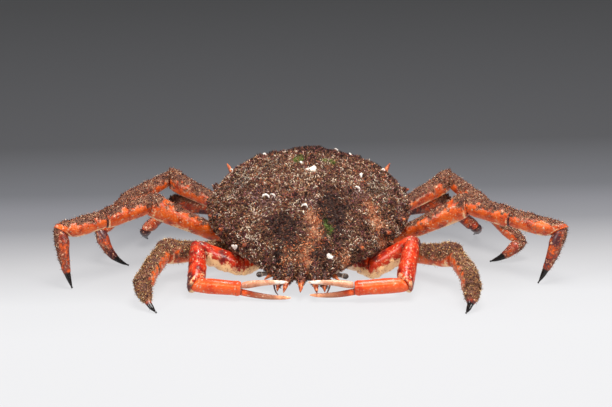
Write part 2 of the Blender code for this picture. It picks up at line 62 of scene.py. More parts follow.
def place(tree, kind, sockets=None, **settings):
    """Put a node in the tree. A socket is wired to another node's output, or else holds the given value."""
    node = tree.nodes.new(kind)
    for name, value in settings.items():
        setattr(node, name, value)
    for name, value in (sockets or {}).items():
        if isinstance(value, bpy.types.NodeSocket):
            tree.links.new(value, node.inputs[name])
        else:
            node.inputs[name].default_value = value
    return node


def colour_steps(tree, share, steps):
    """Colours laid along a share from 0 to 1, each given as (place, colour)."""
    ramp = place(tree, "ShaderNodeValToRGB", {"Fac": share})
    stops = ramp.color_ramp.elements
    stops.remove(stops[1])
    stops[0].position, stops[0].color = steps[0]
    for position, colour in steps[1:]:
        stops.new(position).color = colour
    return ramp.outputs["Color"]


def mixed(tree, share, first, second, mode="MIX"):
    """The first colour, blended towards the second by the share."""
    node = place(tree, "ShaderNodeMix", {0: share, 6: first, 7: second}, data_type="RGBA", blend_type=mode)
    return node.outputs[2]


def new_finish(name):
    """An empty material: its node tree, its shader, and the socket that gives object coordinates."""
    finish = bpy.data.materials.new(name)
    finish.use_nodes = True
    tree = finish.node_tree
    shader = tree.nodes["Principled BSDF"]
    coordinates = place(tree, "ShaderNodeTexCoord").outputs["Object"]
    return finish, tree, shader, coordinates


def aimed(name, data, spot, target):
    """Put a camera or a lamp at a spot, turned so that it looks at the target."""
    holder = bpy.data.objects.new(name, data)
    bpy.context.scene.collection.objects.link(holder)
    holder.location = spot
    holder.rotation_euler = (Vector(target) - Vector(spot)).to_track_quat("-Z", "Y").to_euler()
    return holder


def soft_lamp(name, spot, target, size, watts, colour):
    """A round soft lamp, its size in metres across."""
    lamp = bpy.data.lights.new(name, "AREA")
    lamp.shape = "DISK"
    lamp.size = size
    lamp.energy = watts
    lamp.color = colour
    aimed(name, lamp, spot, target)


camera = aimed("camera", bpy.data.cameras.new("camera"), CAMERA_SPOT, CAMERA_AIM)
camera.data.lens = LENS
camera.data.sensor_width = SENSOR_WIDTH
bpy.context.scene.camera = camera
bpy.context.scene.view_settings.view_transform = "Standard"

sheet_finish, tree, shader, coordinates = new_finish("studio_sheet")
backwards = place(tree, "ShaderNodeVectorMath", {0: coordinates, 1: DARKER_WAY}, operation="DOT_PRODUCT")
distance = place(tree, "ShaderNodeMapRange", {
    "Value": backwards.outputs["Value"], "From Min": DARKER_STRETCH[0], "From Max": DARKER_STRETCH[1],
})
# The sheet's colour is painted light: white around the crab, falling off into grey behind it
falloff = colour_steps(tree, distance.outputs[0], (
    (0.0, paint(239, 239, 241)), (0.10, paint(240, 240, 242)), (0.14, paint(237, 237, 239)),
    (0.19, paint(210, 209, 211)), (0.25, paint(151, 151, 156)), (0.28, paint(136, 136, 142)),
    (0.31, paint(112, 113, 118)), (0.41, paint(79, 79, 82)), (0.92, paint(64, 64, 65)),
))
dimmed = mixed(tree, 1.0, falloff, paint(64, 64, 64), "MULTIPLY")
tree.links.new(dimmed, shader.inputs["Base Color"])
# The sheet glows with the same painted falloff, a painted glow that fills in most of the shadows on it
tree.links.new(falloff, shader.inputs["Emission Color"])
shader.inputs["Emission Strength"].default_value = 0.86
shader.inputs["Roughness"].default_value = 0.8
sheet = bpy.data.meshes.new("studio_sheet")
sheet.from_pydata([
    (-SHEET_HALF, -SHEET_HALF, SHEET_HEIGHT), (SHEET_HALF, -SHEET_HALF, SHEET_HEIGHT),
    (SHEET_HALF, SHEET_HALF, SHEET_HEIGHT), (-SHEET_HALF, SHEET_HALF, SHEET_HEIGHT),
], [], [(0, 1, 2, 3)])
sheet.materials.append(sheet_finish)
studio_sheet = bpy.data.objects.new("studio_sheet", sheet)
bpy.context.scene.collection.objects.link(studio_sheet)

room = bpy.data.worlds.new("room")
room.use_nodes = True
room.node_tree.nodes["Background"].inputs["Color"].default_value = paint(200, 204, 212)
room.node_tree.nodes["Background"].inputs["Strength"].default_value = 0.38
bpy.context.scene.world = room
soft_lamp("top_softbox", (0.10, -0.10, 1.10), (0, -0.02, 0.03), 0.6, 19.0, (1.0, 0.985, 0.96))
soft_lamp("left_lamp", (-0.95, -0.85, 0.75), (0, 0, 0.03), 0.4, 9.0, (1.0, 0.99, 0.97))
soft_lamp("right_lamp", (0.95, -0.75, 0.65), (0, 0, 0.03), 0.4, 8.0, (1.0, 0.99, 0.97))


# The carapace: a domed shell 150 mm wide, tilted forward, whose whole back is hidden under a ground of
# dead weed, coralline crust and grit. It overhangs the legs with a thin rim, and its underside is bare.
HALF_WIDTH, FRONT_LENGTH, REAR_LENGTH = 0.075, 0.084, 0.070
FRONT_ROUNDNESS, REAR_ROUNDNESS = 1.72, 2.1
EDGE_HEIGHT, DOME_HEIGHT, FORWARD_TILT = 0.034, 0.036, math.radians(10)
BODY_YAW, BODY_SHIFT = math.radians(0.4), np.array([-0.0018, 0.0, 0.0])
DOME_RINGS, DOME_TURNS = 150, 540
UNDERSIDE_SHARES = (0.985, 0.96, 0.93, 0.89, 0.84, 0.79, 0.74, 0.68, 0.63, 0.52)
KNOB_COUNT, KNOB_REACH, KNOB_TURN = 30, 0.90, math.radians(137.5)
# Swellings and grooves of the dome: middle x and y, radius, and height
SWELLINGS = (
    (0.0, -0.034, 0.020, 0.0030), (0.0, 0.022, 0.016, 0.0026), (0.0, 0.050, 0.012, 0.0014),
    (0.040, 0.012, 0.022, 0.0022), (-0.040, 0.012, 0.022, 0.0022), (-0.058, 0.016, 0.018, 0.0032),
    (0.021, -0.008, 0.010, -0.0036), (-0.021, -0.008, 0.010, -0.0036),
    (0.030, -0.046, 0.009, -0.0024), (-0.030, -0.046, 0.009, -0.0024),
)
# Patches of the back: middle x and y, and radius
RUSTY = ((0.005, -0.058, 0.006), (0.010, -0.067, 0.005), (0.046, -0.034, 0.004), (0.051, -0.041, 0.005),
         (0.056, -0.047, 0.004), (-0.010, -0.077, 0.005), (0.001, -0.076, 0.005), (0.004, -0.083, 0.004),
         (0.030, -0.073, 0.004))
# The hollows are sunk into the crust and painted dark there, as painted shade
HOLLOWS = ((0.019, -0.045, 0.011), (0.022, -0.058, 0.010), (-0.013, -0.062, 0.012), (-0.005, -0.071, 0.007),
           (0.018, -0.030, 0.010), (0.014, -0.076, 0.007), (-0.014, -0.078, 0.006))
MOSSY = ((-0.009, 0.006, 0.0024), (-0.006, 0.009, 0.0026), (0.011, 0.006, 0.0022), (0.017, 0.007, 0.0022),
         (0.0150, -0.0575, 0.0016), (0.0170, -0.0605, 0.0022), (0.0185, -0.0640, 0.0020))
GREYISH = ((-0.048, -0.008, 0.010), (-0.026, 0.004, 0.006), (0.052, -0.014, 0.008), (0.058, -0.052, 0.007))
MAUVE = ((0.004, -0.046, 0.006), (-0.027, -0.041, 0.007), (0.037, -0.028, 0.006), (-0.036, -0.030, 0.006))


def lumps(places, size, seed):
    """Smooth lumps from -1 to 1: heights drawn for the corners of a lattice of cubes of the given size,
    blended between the eight corners round each place by a smooth step."""
    cells = np.floor(places / size).astype(np.int64)
    inside = places / size - cells
    inside = inside * inside * (3 - 2 * inside)
    total = np.zeros(places.shape[:-1])
    for corner in np.ndindex(2, 2, 2):
        x, y, z = np.moveaxis(cells + np.array(corner), -1, 0)
        drawn = (x * 73856093) ^ (y * 19349663) ^ (z * 83492791) ^ (seed * 6542989)
        drawn = ((drawn ^ (drawn >> 13)) * 1274126177) & 0xFFFFFFFF
        height = ((drawn ^ (drawn >> 16)) & 0xFFFF) / 32767.5 - 1
        total += height * np.prod(np.where(corner, inside, 1 - inside), axis=-1)
    return total


def smooth(low, high, value):
    """0 below low, 1 above high, and a smooth step between."""
    share = np.clip((value - low) / (high - low), 0, 1)
    return share * share * (3 - 2 * share)


def bumps(x, y, table):
    """The sum of round bumps exp(-d2 / r2), one for each (x, y, r) of the table."""
    return sum(np.exp(-((x - cx) ** 2 + (y - cy) ** 2) / r**2) for cx, cy, r in table)


def turn_body(points):
    """Points of the body turned about the vertical by the body's small yaw, and shifted a little."""
    cosine, sine = math.cos(BODY_YAW), math.sin(BODY_YAW)
    return points @ np.array([[cosine, -sine, 0.0], [sine, cosine, 0.0], [0.0, 0.0, 1.0]]) + BODY_SHIFT


def outline(share, angle):
    """x and y at a share of the way to the edge: a superellipse, blunter in front than behind."""
    across, along_body = np.cos(angle), np.sin(angle)
    power = np.where(along_body < 0, FRONT_ROUNDNESS, REAR_ROUNDNESS)
    length = np.where(along_body < 0, FRONT_LENGTH, REAR_LENGTH)
    edge = (np.abs(across / HALF_WIDTH) ** power + np.abs(along_body / length) ** power) ** (-1 / power)
    return share * edge * across, share * edge * along_body


def edge_height(y):
    """The carapace's edge: a plane tilted forward, less a droop that grows as a square towards the snout."""
    return EDGE_HEIGHT + y * math.tan(FORWARD_TILT) - 0.009 * np.clip((-y - 0.050) / 0.040, 0, 2) ** 2


def dome(share, angle):
    """The bare dome: edge height + rise (1 - share^2.3)^0.62, with the swellings and grooves of the back."""
    x, y = outline(share, angle)
    z = edge_height(y) + DOME_HEIGHT * (1 - share**2.3) ** 0.62
    for cx, cy, radius, height in SWELLINGS:
        z = z + height * np.exp(-((x - cx) ** 2 + (y - cy) ** 2) / radius**2) * (1 - share**4)
    return np.stack([x, y, z], -1)


def facing(grid):
    """Outward unit normals of a ringed grid: the step from ring to ring, crossed with the step round it."""
    normal = np.cross(np.gradient(grid, axis=0), np.roll(grid, -1, axis=1) - np.roll(grid, 1, axis=1))
    return normal / np.maximum(np.linalg.norm(normal, axis=-1, keepdims=True), 1e-12)


def finished_piece(name, mesh, finish, replaced=()):
    """Put a mesh in the scene, smooth and in its finish, riding on the body in place of its CAD nodes."""
    mesh.shade_smooth()
    mesh.materials.append(finish)
    piece = bpy.data.objects.new(name, mesh)
    bpy.context.scene.collection.objects.link(piece)
    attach(piece, "root")
    if replaced:
        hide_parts(*replaced)


def skin(name, grids, finish, slot, replaced=(), **marks):
    """One mesh of closed surfaces: quads between the rings of each grid, and a fan of triangles to the
    middle of its first and last ring. Each mark is a list of values on the grids, kept as an attribute that
    the material reads; one that is left out reads as 0."""
    corners, quads, fans, first = [], [], [], 0
    kept = {mark: [] for mark in marks}
    for i, grid in enumerate(grids):
        rings, turns = grid.shape[:2]
        index = first + np.arange(rings * turns).reshape(rings, turns)
        beside = np.roll(index, -1, axis=1)
        near, far = first + rings * turns, first + rings * turns + 1
        quads.append(np.stack([index[:-1], index[1:], beside[1:], beside[:-1]], -1).reshape(-1, 4))
        fans.append(np.stack([np.full(turns, near), index[0], beside[0]], -1))
        fans.append(np.stack([np.full(turns, far), beside[-1], index[-1]], -1))
        corners += [grid.reshape(-1, 3), grid[:1].mean(1), grid[-1:].mean(1)]
        for mark, values in marks.items():
            value = np.broadcast_to(values[i], (rings, turns))
            kept[mark] += [value.ravel(), value[:1].mean(1), value[-1:].mean(1)]
        first += rings * turns + 2
    mesh = bpy.data.meshes.new(name)
    faces = [face for group in quads + fans for face in group.tolist()]
    mesh.from_pydata(np.concatenate(corners).tolist(), [], faces)
    for mark, values in kept.items():
        mesh.attributes.new(mark, "FLOAT", "POINT").data.foreach_set("value", np.concatenate(values))
    finished_piece(name, mesh, finish, replaced)


def mark_of(tree, name):
    """The value of a mark that skin() kept on the mesh."""
    return place(tree, "ShaderNodeAttribute", attribute_name=name).outputs["Fac"]


def noise(tree, vector, scale, detail):
    """Soft noise over a vector."""
    return place(tree, "ShaderNodeTexNoise", {"Vector": vector, "Scale": scale, "Detail": detail})


def new_group(name, inputs, outputs):
    """A node group with the named input values and output sockets, and its two end nodes."""
    group = bpy.data.node_groups.new(name, "ShaderNodeTree")
    for socket, kind, value in inputs:
        made = group.interface.new_socket(socket, in_out="INPUT", socket_type=kind)
        if value is not None:
            made.default_value = value
    for socket, kind in outputs:
        group.interface.new_socket(socket, in_out="OUTPUT", socket_type=kind)
    return group, group.nodes.new("NodeGroupInput"), group.nodes.new("NodeGroupOutput")


# Weed mottle: squiggles of dead weed in browns, khaki and cream, with a slow drift towards mauve
mottle, given, result = new_group(
    "weed_mottle",
    (("Vector", "NodeSocketVector", None), ("Grain", "NodeSocketFloat", 500.0)),
    (("Colour", "NodeSocketColor"), ("Height", "NodeSocketFloat")),
)
vector, grain = given.outputs["Vector"], given.outputs["Grain"]
swirl = noise(mottle, vector, grain, 2.0).outputs["Color"]
pushed = place(mottle, "ShaderNodeVectorMath", {0: swirl, "Scale": 0.0035}, operation="SCALE")
bent = place(mottle, "ShaderNodeVectorMath", {0: vector, 1: pushed.outputs[0]}, operation="ADD")
squiggle = place(mottle, "ShaderNodeTexNoise", {
    "Vector": bent.outputs[0], "Scale": grain, "Detail": 5.0, "Roughness": 0.62, "Distortion": 1.2,
})
strands = colour_steps(mottle, squiggle.outputs["Fac"], (
    (0.32, paint(26, 15, 12)), (0.42, paint(66, 36, 30)), (0.50, paint(112, 68, 50)),
    (0.56, paint(150, 106, 76)), (0.63, paint(190, 156, 114)), (0.73, paint(240, 222, 192)),
))
drift_size = place(mottle, "ShaderNodeMath", {0: grain, 1: 0.16}, operation="MULTIPLY")
drift = noise(mottle, vector, drift_size.outputs[0], 3.0)
drift_share = place(mottle, "ShaderNodeMapRange", {
    "Value": drift.outputs["Fac"], "From Min": 0.50, "From Max": 0.66, "To Min": 0.0, "To Max": 0.55,
})
mauve = mixed(mottle, 1.0, strands, paint(196, 150, 158), "MULTIPLY")
mottle.links.new(mixed(mottle, drift_share.outputs[0], strands, mauve), result.inputs["Colour"])
mottle.links.new(squiggle.outputs["Fac"], result.inputs["Height"])


def weed_mottle(tree, coordinates, grain):
    """The colour and the height of the weed mottle, its squiggles as fine as the grain is high."""
    node = place(tree, "ShaderNodeGroup", node_tree=mottle)
    tree.links.new(coordinates, node.inputs["Vector"])
    node.inputs["Grain"].default_value = grain
    return node.outputs["Colour"], node.outputs["Height"]


weedy_ground, tree, shader, coordinates = new_finish("weedy_ground")
ground_colour, ground_height = weed_mottle(tree, coordinates, 520.0)
# The mottle is darkened by this tint: painted shade for the ground among the fronds
ground_colour = mixed(tree, 1.0, ground_colour, paint(196, 186, 180), "MULTIPLY")
rusty_colour = mixed(tree, ground_height, paint(120, 62, 40), paint(226, 158, 118))
ground_colour = mixed(tree, mark_of(tree, "rusty"), ground_colour, rusty_colour)
# The hollows are painted near black: painted shade in the recesses
ground_colour = mixed(tree, mark_of(tree, "hollow"), ground_colour, paint(36, 22, 18))
ground_colour = mixed(tree, mark_of(tree, "mossy"), ground_colour, paint(84, 104, 44))
ground_colour = mixed(tree, mark_of(tree, "bare"), ground_colour, paint(150, 84, 56))
tree.links.new(ground_colour, shader.inputs["Base Color"])
shader.inputs["Roughness"].default_value = 0.6
shader.inputs["Specular IOR Level"].default_value = 0.25
relief = place(tree, "ShaderNodeBump", {"Height": ground_height, "Strength": 0.7, "Distance": 0.0010})
tree.links.new(relief.outputs[0], shader.inputs["Normal"])

rings = 1 - (1 - np.arange(1, DOME_RINGS + 1) / DOME_RINGS) ** 1.35
share, angle = np.meshgrid(rings, 2 * math.pi * np.arange(DOME_TURNS) / DOME_TURNS, indexing="ij")
bare_dome = dome(share, angle)
dome_normals = facing(bare_dome)
x, y = bare_dome[..., 0], bare_dome[..., 1]
# Knobs lie like the seeds of a sunflower, each a fixed turn further round and a little further out
knob_draw = random.Random(4)
knobs = np.zeros(x.shape)
for i in range(KNOB_COUNT):
    knob_share = KNOB_REACH * math.sqrt((i + 0.5) / KNOB_COUNT)
    knob_angle = i * KNOB_TURN + knob_draw.uniform(-0.2, 0.2)
    knob_height, knob_radius = knob_draw.uniform(0.0020, 0.0036), knob_draw.uniform(0.0028, 0.0040)
    knob_x, knob_y = outline(knob_share, knob_angle)
    knobs += 0.8 * knob_height * np.exp(-((x - knob_x) ** 2 + (y - knob_y) ** 2) / (0.8 * knob_radius) ** 2)
# How far into a hollow each point lies: the crust sinks there and gets painted shade
hollow = np.clip(bumps(x, y, HOLLOWS) * (1.0 + 0.9 * lumps(bare_dome, 0.005, 3)), 0, 1)
rusty = np.clip(bumps(x, y, RUSTY) * (1.1 + 0.9 * lumps(bare_dome, 0.004, 5)), 0, 1)
mossy = np.clip(bumps(x, y, MOSSY) * (1.1 + 1.0 * lumps(bare_dome, 0.002, 6)), 0, 1)
# The crust's height: three grains of lumps, sharp ridges and the knobs, and less of it in the hollows
crust = (
    0.0007 * lumps(bare_dome, 0.013, 11) + 0.0009 * lumps(bare_dome, 0.006, 12)
    + 0.0013 * (0.5 - np.abs(lumps(bare_dome, 0.0032, 13))) + 0.0006 * lumps(bare_dome, 0.0016, 14)
    + knobs - 0.0016 * hollow - 0.0011
)
under_share, under_angle = np.meshgrid(np.array(UNDERSIDE_SHARES), angle[0], indexing="ij")
under_x, under_y = outline(under_share, under_angle)
arched = np.clip((0.93 - np.abs(np.sin(under_angle))) / 0.12, 0, 1)
inwards = (UNDERSIDE_SHARES[0] - under_share) / (UNDERSIDE_SHARES[0] - UNDERSIDE_SHARES[-1])
depth = inwards ** (0.6 + 2.4 * arched)
underside = np.stack([under_x, under_y, edge_height(under_y) - 0.0025 - 0.012 * depth], -1)
whole_shell = turn_body(np.concatenate([bare_dome + dome_normals * crust[..., None], underside]))
shell_normals = facing(whole_shell)
x, y = np.concatenate([x, under_x]), np.concatenate([y, under_y])
on_back = np.concatenate([np.ones(share.shape), np.where(under_share > 0.95, 1.0, 0.0)])
hollow, rusty, mossy = (
    np.concatenate([patch, np.zeros(under_share.shape)]) for patch in (hollow, rusty, mossy)
)
skin(
    "carapace_crust", [whole_shell], weedy_ground, "carapace_crust", ["carapace"],
    hollow=[0.8 * hollow], rusty=[0.7 * rusty], mossy=[0.6 * mossy], bare=[1 - on_back],
)


# The spines of the carapace: seven teeth round the snout, a row of short spines along each side and one
# curved spine on each shoulder. Their tips are bare orange shell, and crust and weed hide their feet.
SPINE_RINGS, SPINE_TURNS = 14, 18
# Edge spines: bearing from straight sideways, length, and radius. The teeth: base, tip, radius, and the
# share of the tooth that crust covers
EDGE_SPINES = ((-58, 0.0060, 0.0032), (-38, 0.0065, 0.0034), (-20, 0.0050, 0.0032),
               (-2, 0.0050, 0.0032), (16, 0.0050, 0.0032))
SHOULDER_BEARINGS = {1: 36, -1: 30}
EDGE_COVER, SHOULDER_COVER = 0.78, 0.35
MIDDLE_TOOTH = ((0.0, -0.078, 0.0165), (0.0, -0.0955, 0.0065), 0.0044, 0.62)
SNOUT_TEETH = (((0.008, -0.078, 0.0170), (0.0115, -0.0975, 0.0070), 0.0044, 0.62),
               ((0.015, -0.074, 0.0140), (0.0165, -0.0890, 0.0045), 0.0040, 0.75),
               ((0.018, -0.070, 0.0130), (0.0265, -0.0775, 0.0085), 0.0030, 0.60))


def side_and_up(direction, hint):
    """Two unit vectors across a direction, the second as near to the hint as it can be."""
    side = np.cross(direction, hint)
    side = side / np.linalg.norm(side)
    return side, np.cross(side, direction)


def unit(vectors):
    """Vectors of length 1 in the same directions."""
    return vectors / np.linalg.norm(vectors, axis=-1, keepdims=True)


def near(value, middle, width):
    """1 at the middle, falling off on both sides as the bell exp(-((value - middle) / width)^2)."""
    return np.exp(-(((value - middle) / width) ** 2))


def around(count):
    """Angles once round a section, laid along the second of a grid's three axes."""
    return np.linspace(0, 2 * math.pi, count, endpoint=False)[None, :, None]


def spine(base, tip, radius, hook, covered):
    """A pointed cone whose foot is sunk into the shell: the radius falls as (1 - s)^0.7, with a swollen foot
    and a lumpy crust over the covered share. Its line is lifted towards the tip by hook times s squared."""
    base, tip = np.array(base), np.array(tip)
    direction = (tip - base) / np.linalg.norm(tip - base)
    side, up = side_and_up(direction, np.array([0.0, 0.0, 1.0]))
    s, turn = np.linspace(0, 1, SPINE_RINGS)[:, None, None], around(SPINE_TURNS)
    foot = base - 0.004 * direction
    crusted = smooth(covered + 0.06, covered - 0.10, s)
    size = radius * ((1 - s) ** 0.70 * 0.95 + 0.05) * (1 + 0.15 * near(s, 0.2, 0.15)) + 0.0005 * crusted
    line = foot + (tip - foot) * s + hook * s**2 * up
    ring = line + size * (np.cos(turn) * side + np.sin(turn) * up)
    ring = ring + 0.0009 * (crusted * lumps(ring, 0.0025, 22)[..., None]) * unit(ring - line)
    return ring + 0.0003 * lumps(ring, 0.0015, 21)[..., None] * (ring - line) / np.maximum(size, 1e-4)


def rooted_spine(share, bearing, side, slope, length, radius, hook, covered):
    """A spine on the dome, at a share of the way to its edge and at a bearing from straight sideways, that
    points outwards and up by the slope."""
    a = math.radians(bearing if side > 0 else 180 - bearing)
    root = turn_body(dome(np.array(share), np.array(a)))
    out = np.array([math.cos(a), math.sin(a), slope])
    return spine(root, root + length * unit(out), radius, hook, covered)


def mirrored(point, side):
    """A point of the left side, or its mirror image on the right where side is -1."""
    return (side * point[0], point[1], point[2])


spine_finish, tree, shader, coordinates = new_finish("spine_shell")
speck = noise(tree, coordinates, 420.0, 4.0)
spine_colour = colour_steps(tree, speck.outputs["Fac"], (
    (0.30, paint(88, 34, 16)), (0.46, paint(170, 72, 26)), (0.60, paint(208, 108, 48)),
    (0.75, paint(236, 172, 116)),
))
spine_colour = mixed(tree, mark_of(tree, "foot"), spine_colour, paint(72, 42, 32))
tree.links.new(spine_colour, shader.inputs["Base Color"])
shader.inputs["Roughness"].default_value = 0.42
relief = place(tree, "ShaderNodeBump", {"Height": speck.outputs["Fac"], "Strength": 0.4, "Distance": 0.0004})
tree.links.new(relief.outputs[0], shader.inputs["Normal"])

spines = []
for side in (1, -1):
    for bearing, length, radius in EDGE_SPINES:
        spines.append((rooted_spine(0.97, bearing, side, 0.35, length, radius, 0.0, EDGE_COVER), EDGE_COVER))
    shoulder = rooted_spine(0.93, SHOULDER_BEARINGS[side], side, 1.1, 0.0085, 0.0028, 0.001, SHOULDER_COVER)
    spines.append((shoulder, SHOULDER_COVER))
    for base, tip, radius, covered in SNOUT_TEETH:
        tooth = spine(mirrored(base, side), mirrored(tip, side), radius, 0.0, covered)
        spines.append((turn_body(tooth), covered))
base, tip, radius, covered = MIDDLE_TOOTH
spines.append((turn_body(spine(base, tip, radius, 0.0, covered)), covered))
along_spine = np.linspace(0, 1, SPINE_RINGS)[:, None]
foot_marks = [smooth(covered + 0.12, covered - 0.12, along_spine) for grid, covered in spines]
skin("carapace_spines", [grid for grid, covered in spines], spine_finish, "carapace_crust", foot=foot_marks)


# The living coat of the back: thousands of small curled fronds of brown weed and coralline, each one to
# three millimetres long, mostly lying along the crust. They are paler and rustier over the bare patches,
# green in three tufts, and painted dark in the hollows, which is painted shade.
def tones_of(*screen_colours):
    """A palette of screen colours as rows of linear light."""
    return np.array([paint(*colour)[:3] for colour in screen_colours])


WEED_TONES = tones_of(
    (24, 13, 12), (44, 24, 21), (96, 40, 42), (114, 72, 52), (154, 100, 72), (158, 92, 98), (184, 142, 98),
    (214, 120, 72), (228, 192, 150), (255, 240, 218),
)
# How much of the weed has each of those tones
WEED_SHARES = (0.14, 0.13, 0.15, 0.12, 0.13, 0.10, 0.09, 0.06, 0.05, 0.03)
PATCH_TONES = {
    "rusty": tones_of((146, 66, 34), (204, 100, 52), (232, 142, 92), (246, 192, 152)),
    # The hollows' dark tones are painted shade
    "hollow": tones_of((20, 11, 10), (36, 18, 16), (64, 30, 27), (104, 56, 46), (140, 92, 70)),
    "mossy": tones_of((46, 62, 20), (78, 104, 32), (116, 138, 56)),
    "greyish": tones_of((112, 98, 88), (142, 134, 124), (176, 168, 154)),
    "mauve": tones_of((74, 44, 48), (120, 84, 92), (156, 120, 124), (196, 160, 160)),
}


# How the weed's tones drift from place to place: how far, over what distance, and the seed
TONE_DRIFT = ((0.14, 0.010, 41), (0.26, 0.0042, 42), (0.26, 0.0021, 44))
# Coats of the back: fronds a square metre, their lengths, widths and leans, and the seed
BACK_COATS = (
    ("back_weed_low", 6.2e5, (0.0013, 0.0028), (0.00045, 0.00082), (0.95, 1.45), 31),
    ("back_weed_high", 6.2e5, (0.0010, 0.0023), (0.00032, 0.00064), (0.25, 1.15), 32),
)
SPINE_WEED_DENSITY, SPINE_WEED_SEED = 1.5e6, 33
# A frond's half width at its root and its middle, as a share of its width, and its shade at the root, the
# middle and the tip
FROND_HALVES, FROND_SHADES = np.array([0.5, 0.44]), np.array([0.72] * 3 + [1.0] * 3 + [1.2])


def spread(grid, normals, weight, density, seed):
    """Places drawn over a ringed grid, density times area times weight of them: point, normal, ring, turn."""
    draw = np.random.default_rng(seed)
    step_out, step_round = grid[1:] - grid[:-1], np.roll(grid, -1, axis=1)[:-1] - grid[:-1]
    amount = np.linalg.norm(np.cross(step_out, step_round), axis=-1) * np.maximum(weight[:-1], 0)
    count = int(density * amount.sum())
    cell = draw.choice(amount.size, count, p=amount.ravel() / amount.sum())
    ring, turn = np.unravel_index(cell, amount.shape)
    u, v = draw.random((2, count, 1))
    beside = (turn + 1) % grid.shape[1]
    points = (1 - u) * ((1 - v) * grid[ring, turn] + v * grid[ring, beside])
    points += u * ((1 - v) * grid[ring + 1, turn] + v * grid[ring + 1, beside])
    return points, normals[ring, turn], ring, turn


def coat_of(roots, normals, draw, lengths, widths, leans, tones):
    """What fronds() needs of one coat: root, normal, length, width, lean, bend and tone of each frond."""
    count = len(roots)
    return (
        roots, normals, draw.uniform(*lengths, count), draw.uniform(*widths, count),
        draw.uniform(*leans, count), draw.uniform(-0.5, 0.9, count), tones,
    )


def fronds(name, coats, finish, seed):
    """Fronds of three sides, tapering to a point. Each leaves its root at the lean from the surface's normal,
    towards a heading drawn along the surface, and bends and swerves sideways on the way to its tip."""
    roots, normals, lengths, widths, lean, bend, tones = (np.concatenate(column) for column in zip(*coats))
    draw = np.random.default_rng(seed)
    count, steps = len(roots), 3
    heading = draw.normal(size=(count, 3))
    heading -= normals * (heading * normals).sum(1, keepdims=True)
    heading /= np.linalg.norm(heading, axis=1, keepdims=True)
    aside = np.cross(normals, heading)[:, None]
    heading, upright = heading[:, None], normals[:, None]
    s = np.linspace(0, 1, steps)
    angle = (lean[:, None] + bend[:, None] * s)[..., None]
    swerve = (draw.normal(size=(count, 1)) * 0.9 * s)[..., None]
    ahead = np.cos(swerve) * heading + np.sin(swerve) * aside
    forward = np.cos(angle) * upright + np.sin(angle) * ahead
    across = np.cos(swerve) * aside - np.sin(swerve) * heading
    above = np.sin(angle) * upright - np.cos(angle) * ahead
    travel = forward * (lengths / (steps - 1))[:, None, None]
    gone = np.concatenate([np.zeros((count, 1, 3)), np.cumsum(travel[:, :-1], axis=1)], axis=1)
    line = roots[:, None] + gone
    half = (widths[:, None] * FROND_HALVES)[..., None]
    across, above, rings = across[:, :2] * half, above[:, :2] * half * 0.9, line[:, :2]
    corners = np.stack([rings + across, rings - across, rings + above], axis=2).reshape(count, 6, 3)
    corners = np.concatenate([corners, line[:, 2:]], axis=1)
    first = 7 * np.arange(count)[:, None, None]
    quads = first + np.array([(0, 3, 4, 1), (1, 4, 5, 2), (2, 5, 3, 0)])
    ends = first + np.array([(0, 1, 2), (3, 6, 4), (4, 6, 5), (5, 6, 3)])
    mesh = bpy.data.meshes.new(name)
    faces = quads.reshape(-1, 4).tolist() + ends.reshape(-1, 3).tolist()
    mesh.from_pydata(corners.reshape(-1, 3).tolist(), [], faces)
    shade = tones[:, None] * FROND_SHADES[None, :, None]
    shade = np.concatenate([shade, np.ones((count, 7, 1))], axis=-1)
    mesh.attributes.new("tone", "FLOAT_COLOR", "POINT").data.foreach_set("color", shade.ravel())
    finished_piece(name, mesh, finish)


def drawn_tones(palette, push, draw, shares=None):
    """Tones drawn from a palette that runs from dark to pale, pushed up or down it, each lightened or
    darkened a little."""
    steps = np.cumsum(np.full(len(palette), 1 / len(palette)) if shares is None else shares)
    pick = np.searchsorted(steps, np.clip(draw.random(len(push)) + push, 0, 0.999))
    return palette[np.minimum(pick, len(palette) - 1)] * draw.uniform(0.8, 1.25, (len(push), 1))


frond_finish, tree, shader, coordinates = new_finish("weed_frond")
tone = place(tree, "ShaderNodeAttribute", attribute_name="tone").outputs["Color"]
streak = noise(tree, coordinates, 900.0, 2.0).outputs["Fac"]
streaked = colour_steps(tree, streak, ((0.35, paint(186, 182, 178)), (0.65, paint(255, 252, 248))))
tree.links.new(mixed(tree, 1.0, tone, streaked, "MULTIPLY"), shader.inputs["Base Color"])
shader.inputs["Roughness"].default_value = 0.42
shader.inputs["Specular IOR Level"].default_value = 0.25

for coat, density, long, wide, leans, seed in BACK_COATS:
    roots, normals, ring, turn = spread(whole_shell, shell_normals, on_back, density, seed)
    draw = np.random.default_rng(seed + 100)
    spot_x, spot_y = x[ring, turn], y[ring, turn]
    drift = sum(push * lumps(roots, size, drift_seed) for push, size, drift_seed in TONE_DRIFT)
    drift += 0.06 - 0.52 * smooth(0.008, 0.046, spot_y)
    tones = drawn_tones(WEED_TONES, drift, draw, WEED_SHARES)
    # Fronds in the hollows take the dark tones, as painted shade
    for patch, amount in (
        ("greyish", 0.55 * bumps(spot_x, spot_y, GREYISH)), ("mauve", 0.6 * bumps(spot_x, spot_y, MAUVE)),
        ("hollow", 0.9 * hollow[ring, turn]), ("rusty", 0.85 * rusty[ring, turn]),
        ("mossy", mossy[ring, turn]),
    ):
        chosen = draw.random(len(roots)) < amount
        tones[chosen] = drawn_tones(PATCH_TONES[patch], drift[chosen], draw)
    coats = [coat_of(roots, normals, draw, long, wide, leans, tones)]
    fronds(coat, coats, frond_finish, seed)
spine_coats = []
for grid, covered in spines:
    weight = smooth(covered + 0.08, covered - 0.08, along_spine)
    roots, normals, ring, turn = spread(grid, facing(grid), weight, SPINE_WEED_DENSITY, SPINE_WEED_SEED)
    tones = drawn_tones(WEED_TONES, np.full(len(roots), -0.02), draw, WEED_SHARES)
    spine_coats.append(coat_of(roots, normals, draw, (0.0010, 0.0022), (0.0004, 0.0008), (0.4, 1.3), tones))
fronds("spine_weed", spine_coats, frond_finish, SPINE_WEED_SEED)


